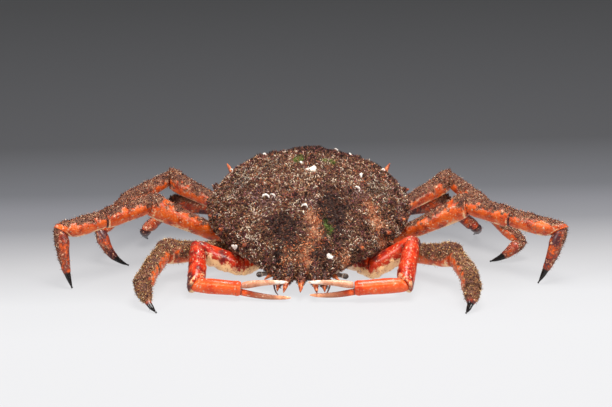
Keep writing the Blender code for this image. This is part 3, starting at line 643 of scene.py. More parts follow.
# Bits of shell among the weed: white worm tubes, and chips of barnacle plate, a few millimetres across.
# They are chalk that has grown on the crust, so each sits on it, turned a little to the front.
# Each bit: x, y, and size
SHELL_FLAKES = (
    (0.003, -0.008, 0.0031), (-0.049, -0.057, 0.0022), (0.020, -0.075, 0.0020), (-0.006, 0.002, 0.0010),
    (0.039, -0.005, 0.0014), (0.030, 0.035, 0.0022), (-0.020, 0.048, 0.0018), (0.055, 0.030, 0.0018),
    (-0.035, 0.030, 0.0016), (0.012, 0.060, 0.0018),
)
WORM_TUBES = (
    (-0.029, -0.036, 0.0034), (-0.0235, -0.038, 0.0028), (0.036, -0.024, 0.0028), (0.0005, -0.051, 0.0030),
    (-0.060, 0.020, 0.0024), (0.018, 0.040, 0.0022),
)
FORWARD_TURN = np.array([0.0, -0.55, 0.0])
shell_bit_finish, tree, shader, coordinates = new_finish("white_shell_bits")
chalk = noise(tree, coordinates, 800.0, 4.0)
tree.links.new(colour_steps(tree, chalk.outputs["Fac"], (
    (0.32, paint(150, 132, 118)), (0.48, paint(216, 206, 196)), (0.70, paint(244, 240, 234)),
)), shader.inputs["Base Color"])
shader.inputs["Roughness"].default_value = 0.45


def worm_tube(centre, normal, size, seed):
    """An open arch of a chalky tube lying on the weed: an arc of radius size, with a round section that
    thins to both ends."""
    side, up = side_and_up(normal, np.array([0.3, 0.2, 0.9]))
    start = 0.4 * (seed % 3)
    u = np.linspace(start, start + 2.7, 22)[:, None, None]
    v = around(10)
    out = np.cos(u) * side + np.sin(u) * up
    thick = size * (0.25 + 0.06 * np.sin(3.0 * u + seed)) * np.sin(0.35 + 2.44 * (u - start) / 2.7)
    return centre + size * 0.8 * out + thick * (np.cos(v) * out - 0.8 * np.sin(v) * normal) + 0.0019 * normal


def shell_flake(centre, normal, size, seed):
    """A domed chip of shell, 0.4 mm thick, its edge at size (1 + 0.25 sin 2a + 0.18 sin 3a + 0.1 sin 7a)."""
    side, up = side_and_up(normal, np.array([0.3, 0.2, 0.9]))
    out_share = np.array([0.03, 0.3, 0.6, 0.85, 1.0, 1.0, 0.85, 0.6, 0.3, 0.03])[:, None, None]
    below = np.array([0, 0, 0, 0, 0, 1, 1, 1, 1, 1])[:, None, None]
    a = around(26)
    waves = 0.25 * np.sin(2 * a + seed) + 0.18 * np.sin(3 * a + 2.1 * seed) + 0.1 * np.sin(7 * a + seed)
    edge = size * (1 + waves)
    height = 0.0012 + 0.3 * size * (1 - out_share**2) - 0.0004 * below
    return centre + out_share * edge * (np.cos(a) * side - np.sin(a) * up) + height * normal


bits = []
for table, shape in ((SHELL_FLAKES, shell_flake), (WORM_TUBES, worm_tube)):
    for i, (bit_x, bit_y, size) in enumerate(table):
        nearest = np.unravel_index(np.argmin(((x - bit_x) ** 2 + (y - bit_y) ** 2)[:DOME_RINGS]), share.shape)
        bits.append(shape(whole_shell[nearest], unit(shell_normals[nearest] + FORWARD_TURN), size, i))
skin("white_shell_bits", bits, shell_bit_finish, "carapace_crust")


# The walking legs: each has a short ischium, a long merus, a bent carpus, a propodus and a dactylus with a
# black glassy tip. They are cooked orange-red below, cream along the bottom, and overgrown with brown weed
# on top, most of all the front pair. Neighbouring shells meet at the plane that halves the bend.
GAP = 0.0003
LEG_JOINTS = {
    "leg_1_right": ((-0.044, -0.024, 0.0115), (-0.059, -0.027, 0.0125), (-0.102, -0.060, 0.0210),
                    (-0.107, -0.085, 0.0180), (-0.110, -0.104, 0.0135), (-0.098, -0.123, 0.0)),
    "leg_1_left": ((0.044, -0.024, 0.0115), (0.059, -0.027, 0.0130), (0.105, -0.057, 0.0215),
                   (0.1135, -0.081, 0.0165), (0.1145, -0.098, 0.0125), (0.110, -0.113, 0.0)),
    "leg_2_right": ((-0.047, -0.004, 0.0125), (-0.062, -0.007, 0.0140), (-0.117, -0.025, 0.0455),
                    (-0.146, -0.048, 0.0415), (-0.173, -0.068, 0.0380), (-0.164, -0.081, 0.0)),
    "leg_2_left": ((0.047, -0.004, 0.0125), (0.062, -0.005, 0.0155), (0.115, -0.012, 0.0448),
                   (0.146, -0.025, 0.0400), (0.179, -0.045, 0.0370), (0.164, -0.054, 0.0)),
    "leg_3_right": ((-0.046, 0.017, 0.0160), (-0.060, 0.023, 0.0255), (-0.113, 0.050, 0.0425),
                    (-0.141, 0.012, 0.0355), (-0.154, -0.022, 0.0220), (-0.132, -0.033, 0.0)),
    "leg_3_left": ((0.046, 0.017, 0.0160), (0.057, 0.024, 0.0245), (0.105, 0.050, 0.0450),
                   (0.130, 0.022, 0.0340), (0.1555, -0.002, 0.0130), (0.133, -0.011, 0.0)),
    "leg_4_right": ((-0.042, 0.038, 0.0160), (-0.057, 0.043, 0.0180), (-0.111, 0.050, 0.0220),
                    (-0.120, 0.036, 0.0145), (-0.126, 0.012, 0.0125), (-0.1275, 0.026, 0.0)),
    "leg_4_left": ((0.042, 0.038, 0.0160), (0.055, 0.044, 0.0190), (0.103, 0.050, 0.0265),
                   (0.115, 0.040, 0.0180), (0.1235, 0.025, 0.0150), (0.125, 0.050, 0.0)),
}
LEG_RADII = {1: (0.0070, 0.0086, 0.0073, 0.0073, 0.0060), 2: (0.0066, 0.0085, 0.0076, 0.0072, 0.0051),
             3: (0.0060, 0.0080, 0.0064, 0.0060, 0.0044), 4: (0.0054, 0.0062, 0.0055, 0.0049, 0.0040)}
COXA_STARTS = ((0.020, -0.034, 0.0085), (0.026, -0.019, 0.0095), (0.028, -0.003, 0.0105),
               (0.026, 0.014, 0.0115), (0.020, 0.030, 0.0120))
COXA_RADII, KNEE_REACH = (0.0060, 0.0062, 0.0068, 0.0066, 0.0062), 1.05
# Swellings: share of the way along a shell, and its thickness there as a share of the limb's radius
SHELL_SWELLING = ((0.0, 0.86), (0.05, 0.92), (0.10, 0.95), (0.35, 0.97), (0.65, 1.02), (0.88, 1.03),
                  (0.96, 0.98), (1.0, 0.90))
PROPODUS_SWELLING = ((0.0, 0.86), (0.05, 0.92), (0.10, 0.95), (0.35, 0.97), (0.65, 1.0), (0.85, 0.93),
                     (0.95, 0.76), (1.0, 0.64))
LONG_DACTYLUS = ((0.0, 0.86), (0.08, 1.0), (0.30, 0.92), (0.52, 0.72), (0.72, 0.50), (0.88, 0.27), (1.0, 0.0))
SHORT_DACTYLUS = ((0.0, 0.90), (0.10, 1.0), (0.30, 0.93), (0.46, 0.70), (0.59, 0.44), (0.82, 0.27),
                  (1.0, 0.0))
DACTYLUS_BOWS, DACTYLUS_BOW = {"leg_2_left": 0.08, "leg_2_right": 0.08, "leg_3_right": 0.26}, 0.16
LEG_PARTS = ("ischium", "merus", "carpus", "propodus", "dactylus")
TUBE_RINGS, DACTYLUS_RINGS = 46, 52
MERUS_SHAPE = {"taper": 0.26, "knob": 0.0018}
BLACK_TIP, FRONT_BLACK_TIP = 0.0108, 0.0078


def eased(table, share):
    """The value at each share of a table of (share, value) pairs: a cubic through them, whose slope at each
    pair is the one between its two neighbours."""
    x, y = np.array(table).T
    slope = np.gradient(y, x)
    i = np.clip(np.searchsorted(x, share, side="right") - 1, 0, len(x) - 2)
    width = x[i + 1] - x[i]
    t = (share - x[i]) / width
    ends = y[i] * (2 * t**3 - 3 * t**2 + 1) + y[i + 1] * (3 * t**2 - 2 * t**3)
    return ends + width * (slope[i] * (t**3 - 2 * t**2 + t) + slope[i + 1] * (t**3 - t**2))


def bend_planes(joints):
    """The unit normals of the planes that halve the bends at the inner joints: sums of two directions."""
    steps = unit(np.diff(np.array(joints), axis=0))
    return unit(steps[:-1] + steps[1:])


def crowded(rings):
    """Shares from 0 to 1 that lie closer together towards both ends."""
    even = np.linspace(0, 1, rings)
    return 0.45 * even + 0.55 * (0.5 - 0.5 * np.cos(math.pi * even))


def tuck_corner(points, joint, outwards, reach):
    """Points that lie past a joint, in the direction outwards, pulled back to a ball round the joint."""
    away = points - joint
    distance = np.linalg.norm(away, axis=-1, keepdims=True)
    outside = ((away @ outwards)[..., None] > 0) & (distance > reach)
    return np.where(outside, joint + away * reach / np.maximum(distance, reach / 2), points)


def tube_shell(start, end, near_plane, far_plane, radius, taper=0.0, knob=0.0, swelling=SHELL_SWELLING):
    """One shell of a limb: rings of radius times swelling, slid along the axis so that the first and the last
    lie on the planes of the two joints, its sharp corners rounded. A knob lifts the back near the far end."""
    start, end = np.array(start), np.array(end)
    direction = unit(end - start)
    side, up = side_and_up(direction, np.array([0.0, 0.0, 1.0]))
    s, turn = crowded(TUBE_RINGS)[:, None, None], around(44)
    back = knob * np.maximum(np.sin(turn), 0) ** 2 * np.exp(-((s - 0.90) / 0.10) ** 2)
    reach = radius * eased(swelling, s) * (1 - taper * (1 - s)) + back
    offset = reach * (0.92 * np.cos(turn) * side + np.sin(turn) * up)
    to_start = (GAP / 2 - offset @ near_plane)[..., None] / (direction @ near_plane)
    to_end = (-GAP / 2 - offset @ far_plane)[..., None] / (direction @ far_plane)
    points = start + (end - start) * s + offset + direction * ((1 - s) * to_start + s * to_end)
    points = tuck_corner(points, end, direction, radius * KNEE_REACH)
    return tuck_corner(points, start, -direction, radius * KNEE_REACH)


def dactylus_shell(start, tip, near_plane, radius, outward, swelling, bow):
    """The last shell: rings along a quadratic bow from the ankle to the table, thinning to a point, with a
    small step where the black tip grows out of it."""
    start, tip = np.array(start), np.array(tip) + np.array([0.0, 0.0, 0.0007])
    chord = unit(tip - start)
    up = side_and_up(chord, np.array(outward))[1]
    middle = start + 0.55 * (tip - start) + bow * np.linalg.norm(tip - start) * up
    s = crowded(DACTYLUS_RINGS)[:, None]
    line = start * (1 - s) ** 2 + middle * 2 * s * (1 - s) + tip * s**2
    tangent = unit((middle - start) * (1 - s) + (tip - middle) * s)
    across = unit(np.cross(tangent, up))
    above = np.cross(across, tangent)[:, None]
    to_tip = np.linalg.norm(line - tip, axis=-1)[:, None, None]
    turn = around(40)
    thick = np.maximum(radius * eased(swelling, s[..., None]), 0.0006)
    thick = thick * (1 - 0.12 * smooth(0.0125, 0.0105, to_tip) * smooth(0.0, 0.004, to_tip))
    offset = thick * (0.92 * np.cos(turn) * across[:, None] + np.sin(turn) * above)
    to_start = (GAP / 2 - offset @ near_plane)[..., None] / (chord @ near_plane)
    points = line[:, None] + offset + chord * (1 - s[..., None]) ** 4 * to_start
    return tuck_corner(points, start, -chord, radius * KNEE_REACH), to_tip[..., 0]


def overgrown(grid, cover, depth, seed):
    """A shell's surface under weed: sunk a little where it is covered, then raised by two grains of lumps
    along the normals, fading out at both ends, over the faint unevenness of the shell itself."""
    rings = grid.shape[0]
    inner = smooth(0, 3, np.arange(rings)) * smooth(rings - 1, rings - 4, np.arange(rings))
    growth = 0.9 * lumps(grid, 0.0035, seed) + 0.8 * (0.5 - np.abs(lumps(grid, 0.0020, seed + 1)))
    height = cover * (depth * growth - 0.0006) + 0.00014 * lumps(grid, 0.004, seed + 2)
    return grid + facing(grid) * (height * inner[:, None])[..., None]


def share_of(tree, value, low, high, most=1.0):
    """0 where the value is low, rising to the most where it is high."""
    given = {"Value": value, "From Min": low, "From Max": high, "To Max": most}
    return place(tree, "ShaderNodeMapRange", given).outputs[0]


def ragged_share(tree, mark, grain, spread_by, low, high):
    """A mark as a share, its edge broken up by a grain."""
    centred = {0: grain, 1: spread_by, 2: -spread_by / 2}
    pushed = place(tree, "ShaderNodeMath", centred, operation="MULTIPLY_ADD")
    edge = place(tree, "ShaderNodeMath", {0: mark_of(tree, mark), 1: pushed.outputs[0]}, operation="ADD")
    return share_of(tree, edge.outputs[0], low, high)


def cooked_shell(name, deep, middle, bright, pale, roughness, raggedness=2.4):
    """Bare cooked shell with freckles and pores: cream with tan dots where it is marked pale, deep where it
    is flushed, stained where it is dark, brown and then weedy where it is marked weed, and black and glassy
    where it is marked black."""
    finish, tree, shader, coordinates = new_finish(name)
    blotch = noise(tree, coordinates, 150.0, 6.0).outputs["Fac"]
    colour = colour_steps(tree, blotch, ((0.34, deep), (0.46, middle), (0.64, bright)))
    freckle = noise(tree, coordinates, 760.0, 3.0).outputs["Fac"]
    dots = noise(tree, coordinates, 430.0, 4.0).outputs["Fac"]
    colour = mixed(tree, share_of(tree, freckle, 0.58, 0.72, 0.42), colour, pale)
    colour = mixed(tree, mark_of(tree, "flushed"), colour, deep)
    dotted = mixed(tree, share_of(tree, dots, 0.56, 0.68, 0.75), pale, middle)
    colour = mixed(tree, ragged_share(tree, "pale", dots, raggedness, 0.30, 0.70), colour, dotted)
    dark_share = ragged_share(tree, "dark", dots, 0.7 * raggedness, 0.25, 0.85)
    colour = mixed(tree, dark_share, colour, paint(72, 32, 34))
    stain = colour_steps(tree, dots, (
        (0.34, paint(72, 34, 28)), (0.45, paint(112, 54, 40)), (0.54, paint(152, 80, 54)),
        (0.62, paint(188, 122, 92)), (0.72, paint(222, 178, 146)),
    ))
    colour = mixed(tree, ragged_share(tree, "weed", dots, 2.2, 0.15, 0.45), colour, stain)
    weed_colour, weed_height = weed_mottle(tree, coordinates, 700.0)
    weed_colour = mixed(tree, 1.0, weed_colour, paint(210, 190, 182), "MULTIPLY")
    weed_share = ragged_share(tree, "weed", weed_height, 2.4, 0.50, 0.75)
    colour = mixed(tree, weed_share, colour, weed_colour)
    black = mark_of(tree, "black")
    tree.links.new(mixed(tree, black, colour, paint(24, 19, 18)), shader.inputs["Base Color"])
    rough = place(tree, "ShaderNodeMapRange", {"Value": weed_share, "To Min": roughness, "To Max": 0.65})
    glassy = place(tree, "ShaderNodeMapRange", {"Value": black, "To Min": 1.0, "To Max": 0.45})
    gloss = place(tree, "ShaderNodeMath", {0: rough.outputs[0], 1: glassy.outputs[0]}, operation="MULTIPLY")
    tree.links.new(gloss.outputs[0], shader.inputs["Roughness"])
    height = place(tree, "ShaderNodeMath", {0: weed_share, 1: weed_height}, operation="MULTIPLY")
    pores = place(tree, "ShaderNodeMath", {0: dots, 1: 0.3, 2: height.outputs[0]}, operation="MULTIPLY_ADD")
    relief = place(tree, "ShaderNodeBump", {"Height": pores.outputs[0], "Strength": 0.6, "Distance": 0.0007})
    tree.links.new(relief.outputs[0], shader.inputs["Normal"])
    shader.inputs["Specular IOR Level"].default_value = 0.35
    return finish


leg_finish = cooked_shell(
    "cooked_leg_shell", paint(140, 38, 8), paint(200, 72, 16), paint(226, 98, 30), paint(246, 198, 146), 0.34,
)
# How far the weed reaches down each shell: it starts where the shell faces up by the first value, from -1 to
# 1, and is full from the second
WEED_EDGES = {1: (-0.85, -0.15), 2: (0.24, 1.0), 3: (-0.05, 0.80), 4: (0.0, 1.2)}
FRONT_MERUS_EDGES = (-0.40, 0.45)
KNEES = {"merus": 0.97, "carpus": 0.03}


def weed_on_tube(bare, s, number, part, sign, seed):
    """How much of a shell is under weed: what faces up, with a ragged edge. There is more at the knees behind
    the front pair, and less on the ischium, inside the front pair and at the ankle of leg 2."""
    ragged = 0.20 * lumps(bare, 0.006, seed) + 0.42 * lumps(bare, 0.0022, seed + 5)
    if number > 1 and part in KNEES:
        ragged = ragged + 0.45 * near(s, KNEES[part], 0.08)
    low, high = FRONT_MERUS_EDGES if number == 1 and part == "merus" else WEED_EDGES[number]
    cover = smooth(low, high, facing(bare)[..., 2] + (0.0 if part == "merus" else 0.12) + ragged)
    if part == "ischium":
        cover = cover * 0.5
    if number == 1 and part in ("carpus", "propodus"):
        inward = facing(bare)[..., 0] * -sign + 0.25 * lumps(bare, 0.003, seed + 6)
        cover = cover * (1 - 0.8 * smooth(0.55, 0.90, inward))
    if number == 2 and part == "propodus":
        cover = cover * (1 - 0.7 * smooth(0.80, 0.93, s))
    return cover


def weed_on_dactylus(bare, to_tip, number, sign, seed):
    """How much of a last shell is under weed: all round it on the front pair, else the side that faces out
    and up, in both cases down to a bare collar above the black tip."""
    if number == 1:
        return np.broadcast_to(0.9 * smooth(0.0088, 0.0120, to_tip), bare.shape[:2])
    outward = facing(bare) @ unit(np.array([sign, 0.35, 0.5]))
    cover = smooth(-0.4, 0.45, outward + 0.5 * lumps(bare, 0.004, seed))
    return (0.2 if number == 4 else 0.8) * cover * smooth(0.0115, 0.020, to_tip)


def stains(bare, s, number, part, seed):
    """Dark stains on a shell: blotches, more of them on the last shells and the fourth pair, and the brown
    seam where the shell meets its neighbour."""
    seam = 0.3 * near(s, 0.0, 0.02)
    if part == "ischium":
        seam = 0.0
    if part in ("carpus", "propodus"):
        seam = near(1 - s if part == "carpus" else s, 0.0, 0.018)
    blotches = 0.34 * smooth(0.1, 0.7, lumps(bare, 0.008, seed + 9))
    return np.clip(0.60 * (number == 4) + 0.66 * (part == "dactylus") + blotches + seam, 0, 1)


weedy_skins = []
for name, joints in LEG_JOINTS.items():
    number, sign = int(name[4]), -1 if name.endswith("right") else 1
    planes = bend_planes((mirrored(COXA_STARTS[number], sign), *joints))
    radii = LEG_RADII[number]
    for i, part in enumerate(LEG_PARTS):
        seed = 40 + 10 * number + i
        if part == "dactylus":
            s = crowded(DACTYLUS_RINGS)[:, None]
            swelling = SHORT_DACTYLUS if number == 1 else LONG_DACTYLUS
            bow = DACTYLUS_BOWS.get(name, DACTYLUS_BOW)
            bare, to_tip = dactylus_shell(
                joints[4], joints[5], planes[4], radii[4], (sign, 0.0, 0.15), swelling, bow,
            )
            tip_length = FRONT_BLACK_TIP if number == 1 else BLACK_TIP
            black = smooth(tip_length + 0.0006, tip_length, to_tip)
            cover = weed_on_dactylus(bare, to_tip, number, sign, seed)
        else:
            s = crowded(TUBE_RINGS)[:, None]
            shape = dict(MERUS_SHAPE) if part == "merus" else {}
            if part == "propodus" and number > 1:
                shape["swelling"] = PROPODUS_SWELLING
            bare = tube_shell(joints[i], joints[i + 1], planes[i], planes[i + 1], radii[i], **shape)
            black = 0.0
            cover = weed_on_tube(bare, s, number, part, sign, seed)
        if number == 4 and part in ("propodus", "dactylus"):
            cover = 0.3 * cover
        upward = facing(bare)[..., 2]
        rim = 0.75 * near(s, 0.965, 0.016) * smooth(0.4, -0.3, upward) * (part != "dactylus")
        pale = smooth(0.50, 1.0, -upward + 0.3 * lumps(bare, 0.005, seed + 7)) + rim
        grown = overgrown(bare, cover, 0.0005, seed)
        skin(
            f"{name}_{part}_shell", [grown], leg_finish,
            "dactylus_shell" if part == "dactylus" else "leg_shell", [f"{name}_{part}"],
            weed=[cover], pale=[np.clip(pale, 0, 1) * (1 - black)], black=[black],
            dark=[stains(bare, s, number, part, seed)],
        )
        weedy_skins.append((grown, facing(bare), cover, number == 1, seed))


# The weed on the legs: short fronds in the same browns, denser and more olive on the front pair, and fine
# straight bristles that stand off every overgrown shell and fringe its edges.
OLIVE_TONES = tones_of(
    (66, 38, 22), (126, 78, 44), (170, 82, 50), (186, 130, 78), (214, 162, 98), (234, 188, 124),
    (255, 230, 186),
)
REDDISH_TONES = tones_of(
    (40, 19, 15), (84, 34, 27), (124, 54, 38), (162, 80, 50), (202, 110, 64), (214, 150, 128),
    (246, 218, 188),
)
# Fronds and bristles a square metre, on the front pair and on the others
WEED_DENSITY, BRISTLE_DENSITY = {True: 6.0e5, False: 4.2e5}, {True: 3.8e5, False: 2.8e5}
weed_coats, bristle_coats = [], []
for grown, normals, cover, front, seed in weedy_skins:
    draw = np.random.default_rng(seed + 1000)
    palette = OLIVE_TONES if front else REDDISH_TONES
    weedy = smooth(0.3, 1.0, cover) + 1e-4
    roots, ways, ring, turn = spread(grown, normals, weedy, WEED_DENSITY[front], seed)
    tones = drawn_tones(palette, 0.3 * lumps(roots, 0.005, 43), draw)
    weed_coats.append(coat_of(roots, ways, draw, (0.0008, 0.0018), (0.0003, 0.0007), (0.7, 1.4), tones))
    fringe = smooth(0.1, 0.5, cover) + 0.6 * near(cover, 0.3, 0.2)
    roots, ways, ring, turn = spread(grown, normals, fringe, BRISTLE_DENSITY[front], seed + 200)
    tones = drawn_tones(palette, 0.2 * lumps(roots, 0.005, 43), draw) * 0.8
    bristle_coats.append(
        coat_of(roots, ways, draw, (0.0012, 0.0027), (0.00014, 0.00023), (0.15, 0.85), tones)
    )
fronds("leg_weed", weed_coats, frond_finish, 301)
fronds("leg_bristles", bristle_coats, frond_finish, 302)


# The claws: folded in front of the snout. The ischium and the merus are cream and lobed below and red
# above, the carpus is bright red with cream tubercles and a purple stain, the palm is a smooth
# salmon-orange bar, and the two slender fingers fade to white at their tips.
CLAW_JOINTS = {
    "claw_right": ((-0.036, -0.042, 0.0090), (-0.048, -0.051, 0.0086), (-0.077, -0.060, 0.0230),
                   (-0.075, -0.090, 0.0085), (-0.044, -0.093, 0.0075)),
    "claw_left": ((0.036, -0.042, 0.0090), (0.047, -0.051, 0.0088), (0.074, -0.054, 0.0275),
                  (0.069, -0.087, 0.0105), (0.035, -0.092, 0.0090)),
}
FINGERTIPS = {"claw_right": ((-0.009, -0.096, 0.0026), (-0.011, -0.096, 0.0140)),
              "claw_left": ((0.004, -0.094, 0.0042), (0.0025, -0.094, 0.0135))}
CLAW_SHELLS = (("ischium", 0.0068, 0.10), ("merus", 0.0066, -0.20), ("carpus", 0.0068, 0.0))
PALM_HALF_WIDTH, PALM_HALF_HEIGHT = 0.0044, 0.0052
PALM_RINGS, FINGER_RINGS, BAR_TURNS = 48, 36, 32
FINGER_RADIUS, FINGER_OFFSET = 0.0024, 0.00245
PALM_SWELLING = ((0.0, 0.78), (0.05, 0.92), (0.14, 1.0), (0.55, 1.04), (0.86, 1.0), (0.95, 1.03), (1.0, 0.90))
FIXED_SWELLING = ((0.0, 1.0), (0.35, 0.88), (0.70, 0.66), (0.93, 0.40), (1.0, 0.16))
MOVING_SWELLING = ((0.0, 0.86), (0.06, 1.0), (0.45, 0.86), (0.75, 0.62), (0.94, 0.36), (1.0, 0.14))


def tubercles(grid, normals, weight, count, height, radius, seed):
    """Round warts on a shell: bumps exp(-d2 / r2) at places drawn by the weight. Gives the raised grid and
    how far up a wart each point lies."""
    area = np.linalg.norm(np.cross(grid[1:] - grid[:-1], (np.roll(grid, -1, axis=1) - grid)[:-1]), axis=-1)
    spots = spread(grid, normals, weight, count / (area * weight[:-1]).sum(), seed)[0]
    apart = np.linalg.norm(grid[:, :, None] - spots, axis=-1)
    rise = np.clip(np.exp(-((apart / radius) ** 2)).sum(-1), 0, 1)
    return grid + normals * (height * rise)[..., None], rise


def finger(root, tip, side, up, swelling, arch):
    """A finger from its root to its tip: flattened rings along a line that arches up by arch sin(pi s)."""
    s, turn = crowded(FINGER_RINGS)[:, None, None], around(BAR_TURNS)
    size = FINGER_RADIUS * eased(swelling, s)
    line = root + (tip - root) * s + arch * np.sin(math.pi * s) * up
    return line + size * (0.85 * np.cos(turn) * side + np.sin(turn) * up)


def palm_bar(wrist, knuckle, near_plane, side, up, seed):
    """The palm: oval rings of the palm's swelling from the wrist to the knuckle, slid along it so that the
    first lies on the wrist's plane, and a little uneven."""
    direction = unit(knuckle - wrist)
    s, turn = crowded(PALM_RINGS)[:, None, None], around(BAR_TURNS)
    oval = PALM_HALF_WIDTH * np.cos(turn) * side + PALM_HALF_HEIGHT * np.sin(turn) * up
    offset = eased(PALM_SWELLING, s) * oval
    to_wrist = (GAP / 2 - offset @ near_plane)[..., None] / (direction @ near_plane)
    bar = wrist + (knuckle - wrist) * s + offset + direction * (1 - s) ** 2 * to_wrist
    return bar + facing(bar) * 0.00012 * lumps(bar, 0.003, seed)[..., None]


red_finish = cooked_shell(
    "claw_red_shell", paint(100, 14, 8), paint(168, 28, 8), paint(198, 56, 18), paint(255, 206, 148), 0.28,
)
palm_finish = cooked_shell(
    "claw_palm_shell", paint(204, 58, 18), paint(224, 80, 28), paint(232, 94, 40), paint(252, 168, 122),
    0.26, 0.5,
)
finger_finish = cooked_shell(
    "claw_finger_shell", paint(176, 104, 76), paint(206, 138, 104), paint(222, 168, 136),
    paint(246, 230, 214), 0.28, 0.6,
)
for name, joints in CLAW_JOINTS.items():
    sign = -1 if name.endswith("right") else 1
    planes = bend_planes((mirrored(COXA_STARTS[0], sign), *joints))
    s = crowded(TUBE_RINGS)[:, None]
    inner = np.sin(math.pi * s) ** 0.5
    for i, (part, radius, taper) in enumerate(CLAW_SHELLS):
        seed = 110 + 10 * i + (sign > 0)
        bare = tube_shell(joints[i], joints[i + 1], planes[i], planes[i + 1], radius, taper)
        normals = facing(bare)
        upward = normals[..., 2]
        if part == "carpus":
            warty, rise = tubercles(bare, normals, inner, 40, 0.0005, 0.0007, seed)
            pale = 0.30 * rise + 0.5 * smooth(0.45, 0.9, -upward) + 0.42 * smooth(0.85, 0.97, s)
            outer = smooth(0.1, 0.8, normals[..., 0] * sign) * smooth(-0.3, 0.4, lumps(bare, 0.009, seed))
            dark = 0.9 * outer + 0.5 * smooth(0.30, 0.05, s) + 0.6 * near(s, 0.90, 0.02)
        else:
            below = inner * smooth(0.4, -0.4, upward)
            warty, rise = tubercles(bare, normals, below, 22, 0.0010, 0.0019, seed)
            pale = smooth(0.15, -0.45, upward + 0.35 * lumps(bare, 0.004, seed)) + 0.3 * rise
            dark = 0.7 * smooth(0.0, 0.6, lumps(bare, 0.006, seed + 3)) * smooth(-0.2, 0.5, upward)
        skin(
            f"{name}_{part}_shell", [overgrown(warty, 0.0, 0.0, seed)], red_finish, "claw_shell",
            [f"{name}_{part}"], pale=[np.clip(pale, 0, 1)], dark=[np.clip(dark, 0, 1)],
        )
    wrist, knuckle = np.array(joints[3]), np.array(joints[4])
    fixed_tip, moving_tip = np.array(FINGERTIPS[name])
    direction = unit(knuckle - wrist)
    side, up = side_and_up(direction, np.array([0.0, 0.0, 1.0]))
    palm = palm_bar(wrist, knuckle, planes[3], side, up, seed)
    fixed_root = knuckle + 0.0005 * direction - FINGER_OFFSET * up
    moving_root = knuckle + 0.0010 * direction + FINGER_OFFSET * up
    fixed = finger(fixed_root, fixed_tip, side, up, FIXED_SWELLING, -0.0012)
    moving = finger(moving_root, moving_tip, side, up, MOVING_SWELLING, 0.0008)
    s, finger_s = crowded(PALM_RINGS)[:, None], crowded(FINGER_RINGS)[:, None]
    rising = np.sin(around(BAR_TURNS)[..., 0])
    height = rising + 0.08 * lumps(palm, 0.006, seed)
    # A pale band along the upper middle of the palm: a painted highlight, where the lamps above and in front
    # shine on it
    highlight_band = 0.46 * near(height, 0.55, 0.20) * smooth(0.04, 0.2, s)
    top_line = 0.8 * near(height, 0.95, 0.12) * smooth(0.0, 0.15, s)
    knuckle_line = near(s, 0.93 + 0.02 * rising, 0.008)
    dusky = 0.6 * smooth(0.0, 0.2, finger_s) * smooth(0.98, 0.6, finger_s)
    finger_dark = 0.75 * near(finger_s, 0.0, 0.03) + dusky
    whole_finger = np.zeros((FINGER_RINGS, BAR_TURNS))
    skin(
        f"{name}_palm_shell", [np.concatenate([palm, fixed])], palm_finish, "palm_shell", [f"{name}_palm"],
        pale=[np.concatenate([highlight_band, smooth(-0.3, 1.0, finger_s) + whole_finger])],
        dark=[np.concatenate([0.7 * knuckle_line, finger_dark + whole_finger])],
        flushed=[np.concatenate([top_line, whole_finger])],
    )
    skin(
        f"{name}_finger_shell", [moving], finger_finish, "finger_shell", [f"{name}_finger"],
        pale=[smooth(0.45, 1.0, finger_s)], dark=[0.5 * near(finger_s, 0.0, 0.03)],
    )


# The body under the carapace: the cream sternum block with ten coxae that the limbs start from, and the
# tail folded flat under it in seven overlapping plates, its rear end bent up behind the body.
# Levels of the body: share of the carapace's outline, and share of the height under it
BODY_RINGS = ((0.50, 1.0), (0.50, 0.60), (0.58, 0.38), (0.58, 0.15), (0.52, 0.0))
BODY_FLOOR, COXA_TAPER = 0.0045, 0.30
# Stations of the tail flap: y, height above the table, bend in degrees, and half width
FLAP_STATIONS = ((-0.0210, 0.0, 0, 0.0045), (-0.0170, 0.0, 0, 0.0075), (-0.0100, 0.0, 0, 0.0095),
                 (0.0100, 0.0, 0, 0.0125), (0.0200, 0.0, 0, 0.0130), (0.0330, 0.0, 0, 0.0125),
                 (0.0400, 0.0006, 14, 0.0122), (0.0452, 0.0036, 44, 0.0116), (0.0482, 0.0085, 70, 0.0108),
                 (0.0490, 0.0135, 80, 0.0095))
PLATE_EDGES, FLAP_THICKNESS = (-0.012, -0.002, 0.008, 0.018, 0.028, 0.038), 0.0020
LIMBS = ("claw", "leg_1", "leg_2", "leg_3", "leg_4")


def between(stations, count):
    """The columns of a table of stations, each drawn out into so many values along straight lines."""
    columns, order = np.array(stations).T, np.arange(len(stations))
    return (np.interp(np.linspace(0, len(stations) - 1, count), order, column)[:, None] for column in columns)


def squared(wave):
    """A wave from -1 to 1 to its power 0.55, which gives a round section flat sides."""
    return np.sign(wave) * np.abs(wave) ** 0.55


belly_finish = cooked_shell(
    "belly_shell", paint(214, 140, 92), paint(236, 190, 148), paint(244, 214, 182), paint(250, 234, 212),
    0.42,
)
scale, rise = between(BODY_RINGS, 33)
angle = np.linspace(0, 2 * math.pi, 96, endpoint=False)[None]
body_x, body_y = outline(scale, angle)
roof = EDGE_HEIGHT + body_y * math.tan(FORWARD_TILT) - 0.0145 - 2 * GAP
block = turn_body(np.stack([body_x, body_y, BODY_FLOOR + (roof - BODY_FLOOR) * rise], -1))
parts = [block]
for index, limb in enumerate(LIMBS):
    for side, sign in (("left", 1), ("right", -1)):
        joints = {**CLAW_JOINTS, **LEG_JOINTS}[f"{limb}_{side}"]
        start = np.array(mirrored(COXA_STARTS[index], sign))
        along = unit(np.array(joints[0]) - start)
        plane = bend_planes((start, *joints))[0]
        parts.append(tube_shell(start, joints[0], along, plane, COXA_RADII[index], COXA_TAPER))
stained = [0.3 * smooth(0.0, 0.6, lumps(part, 0.008, 91)) for part in parts]
skin("thorax_shell", parts, belly_finish, "belly_shell", ["thorax"], dark=stained)

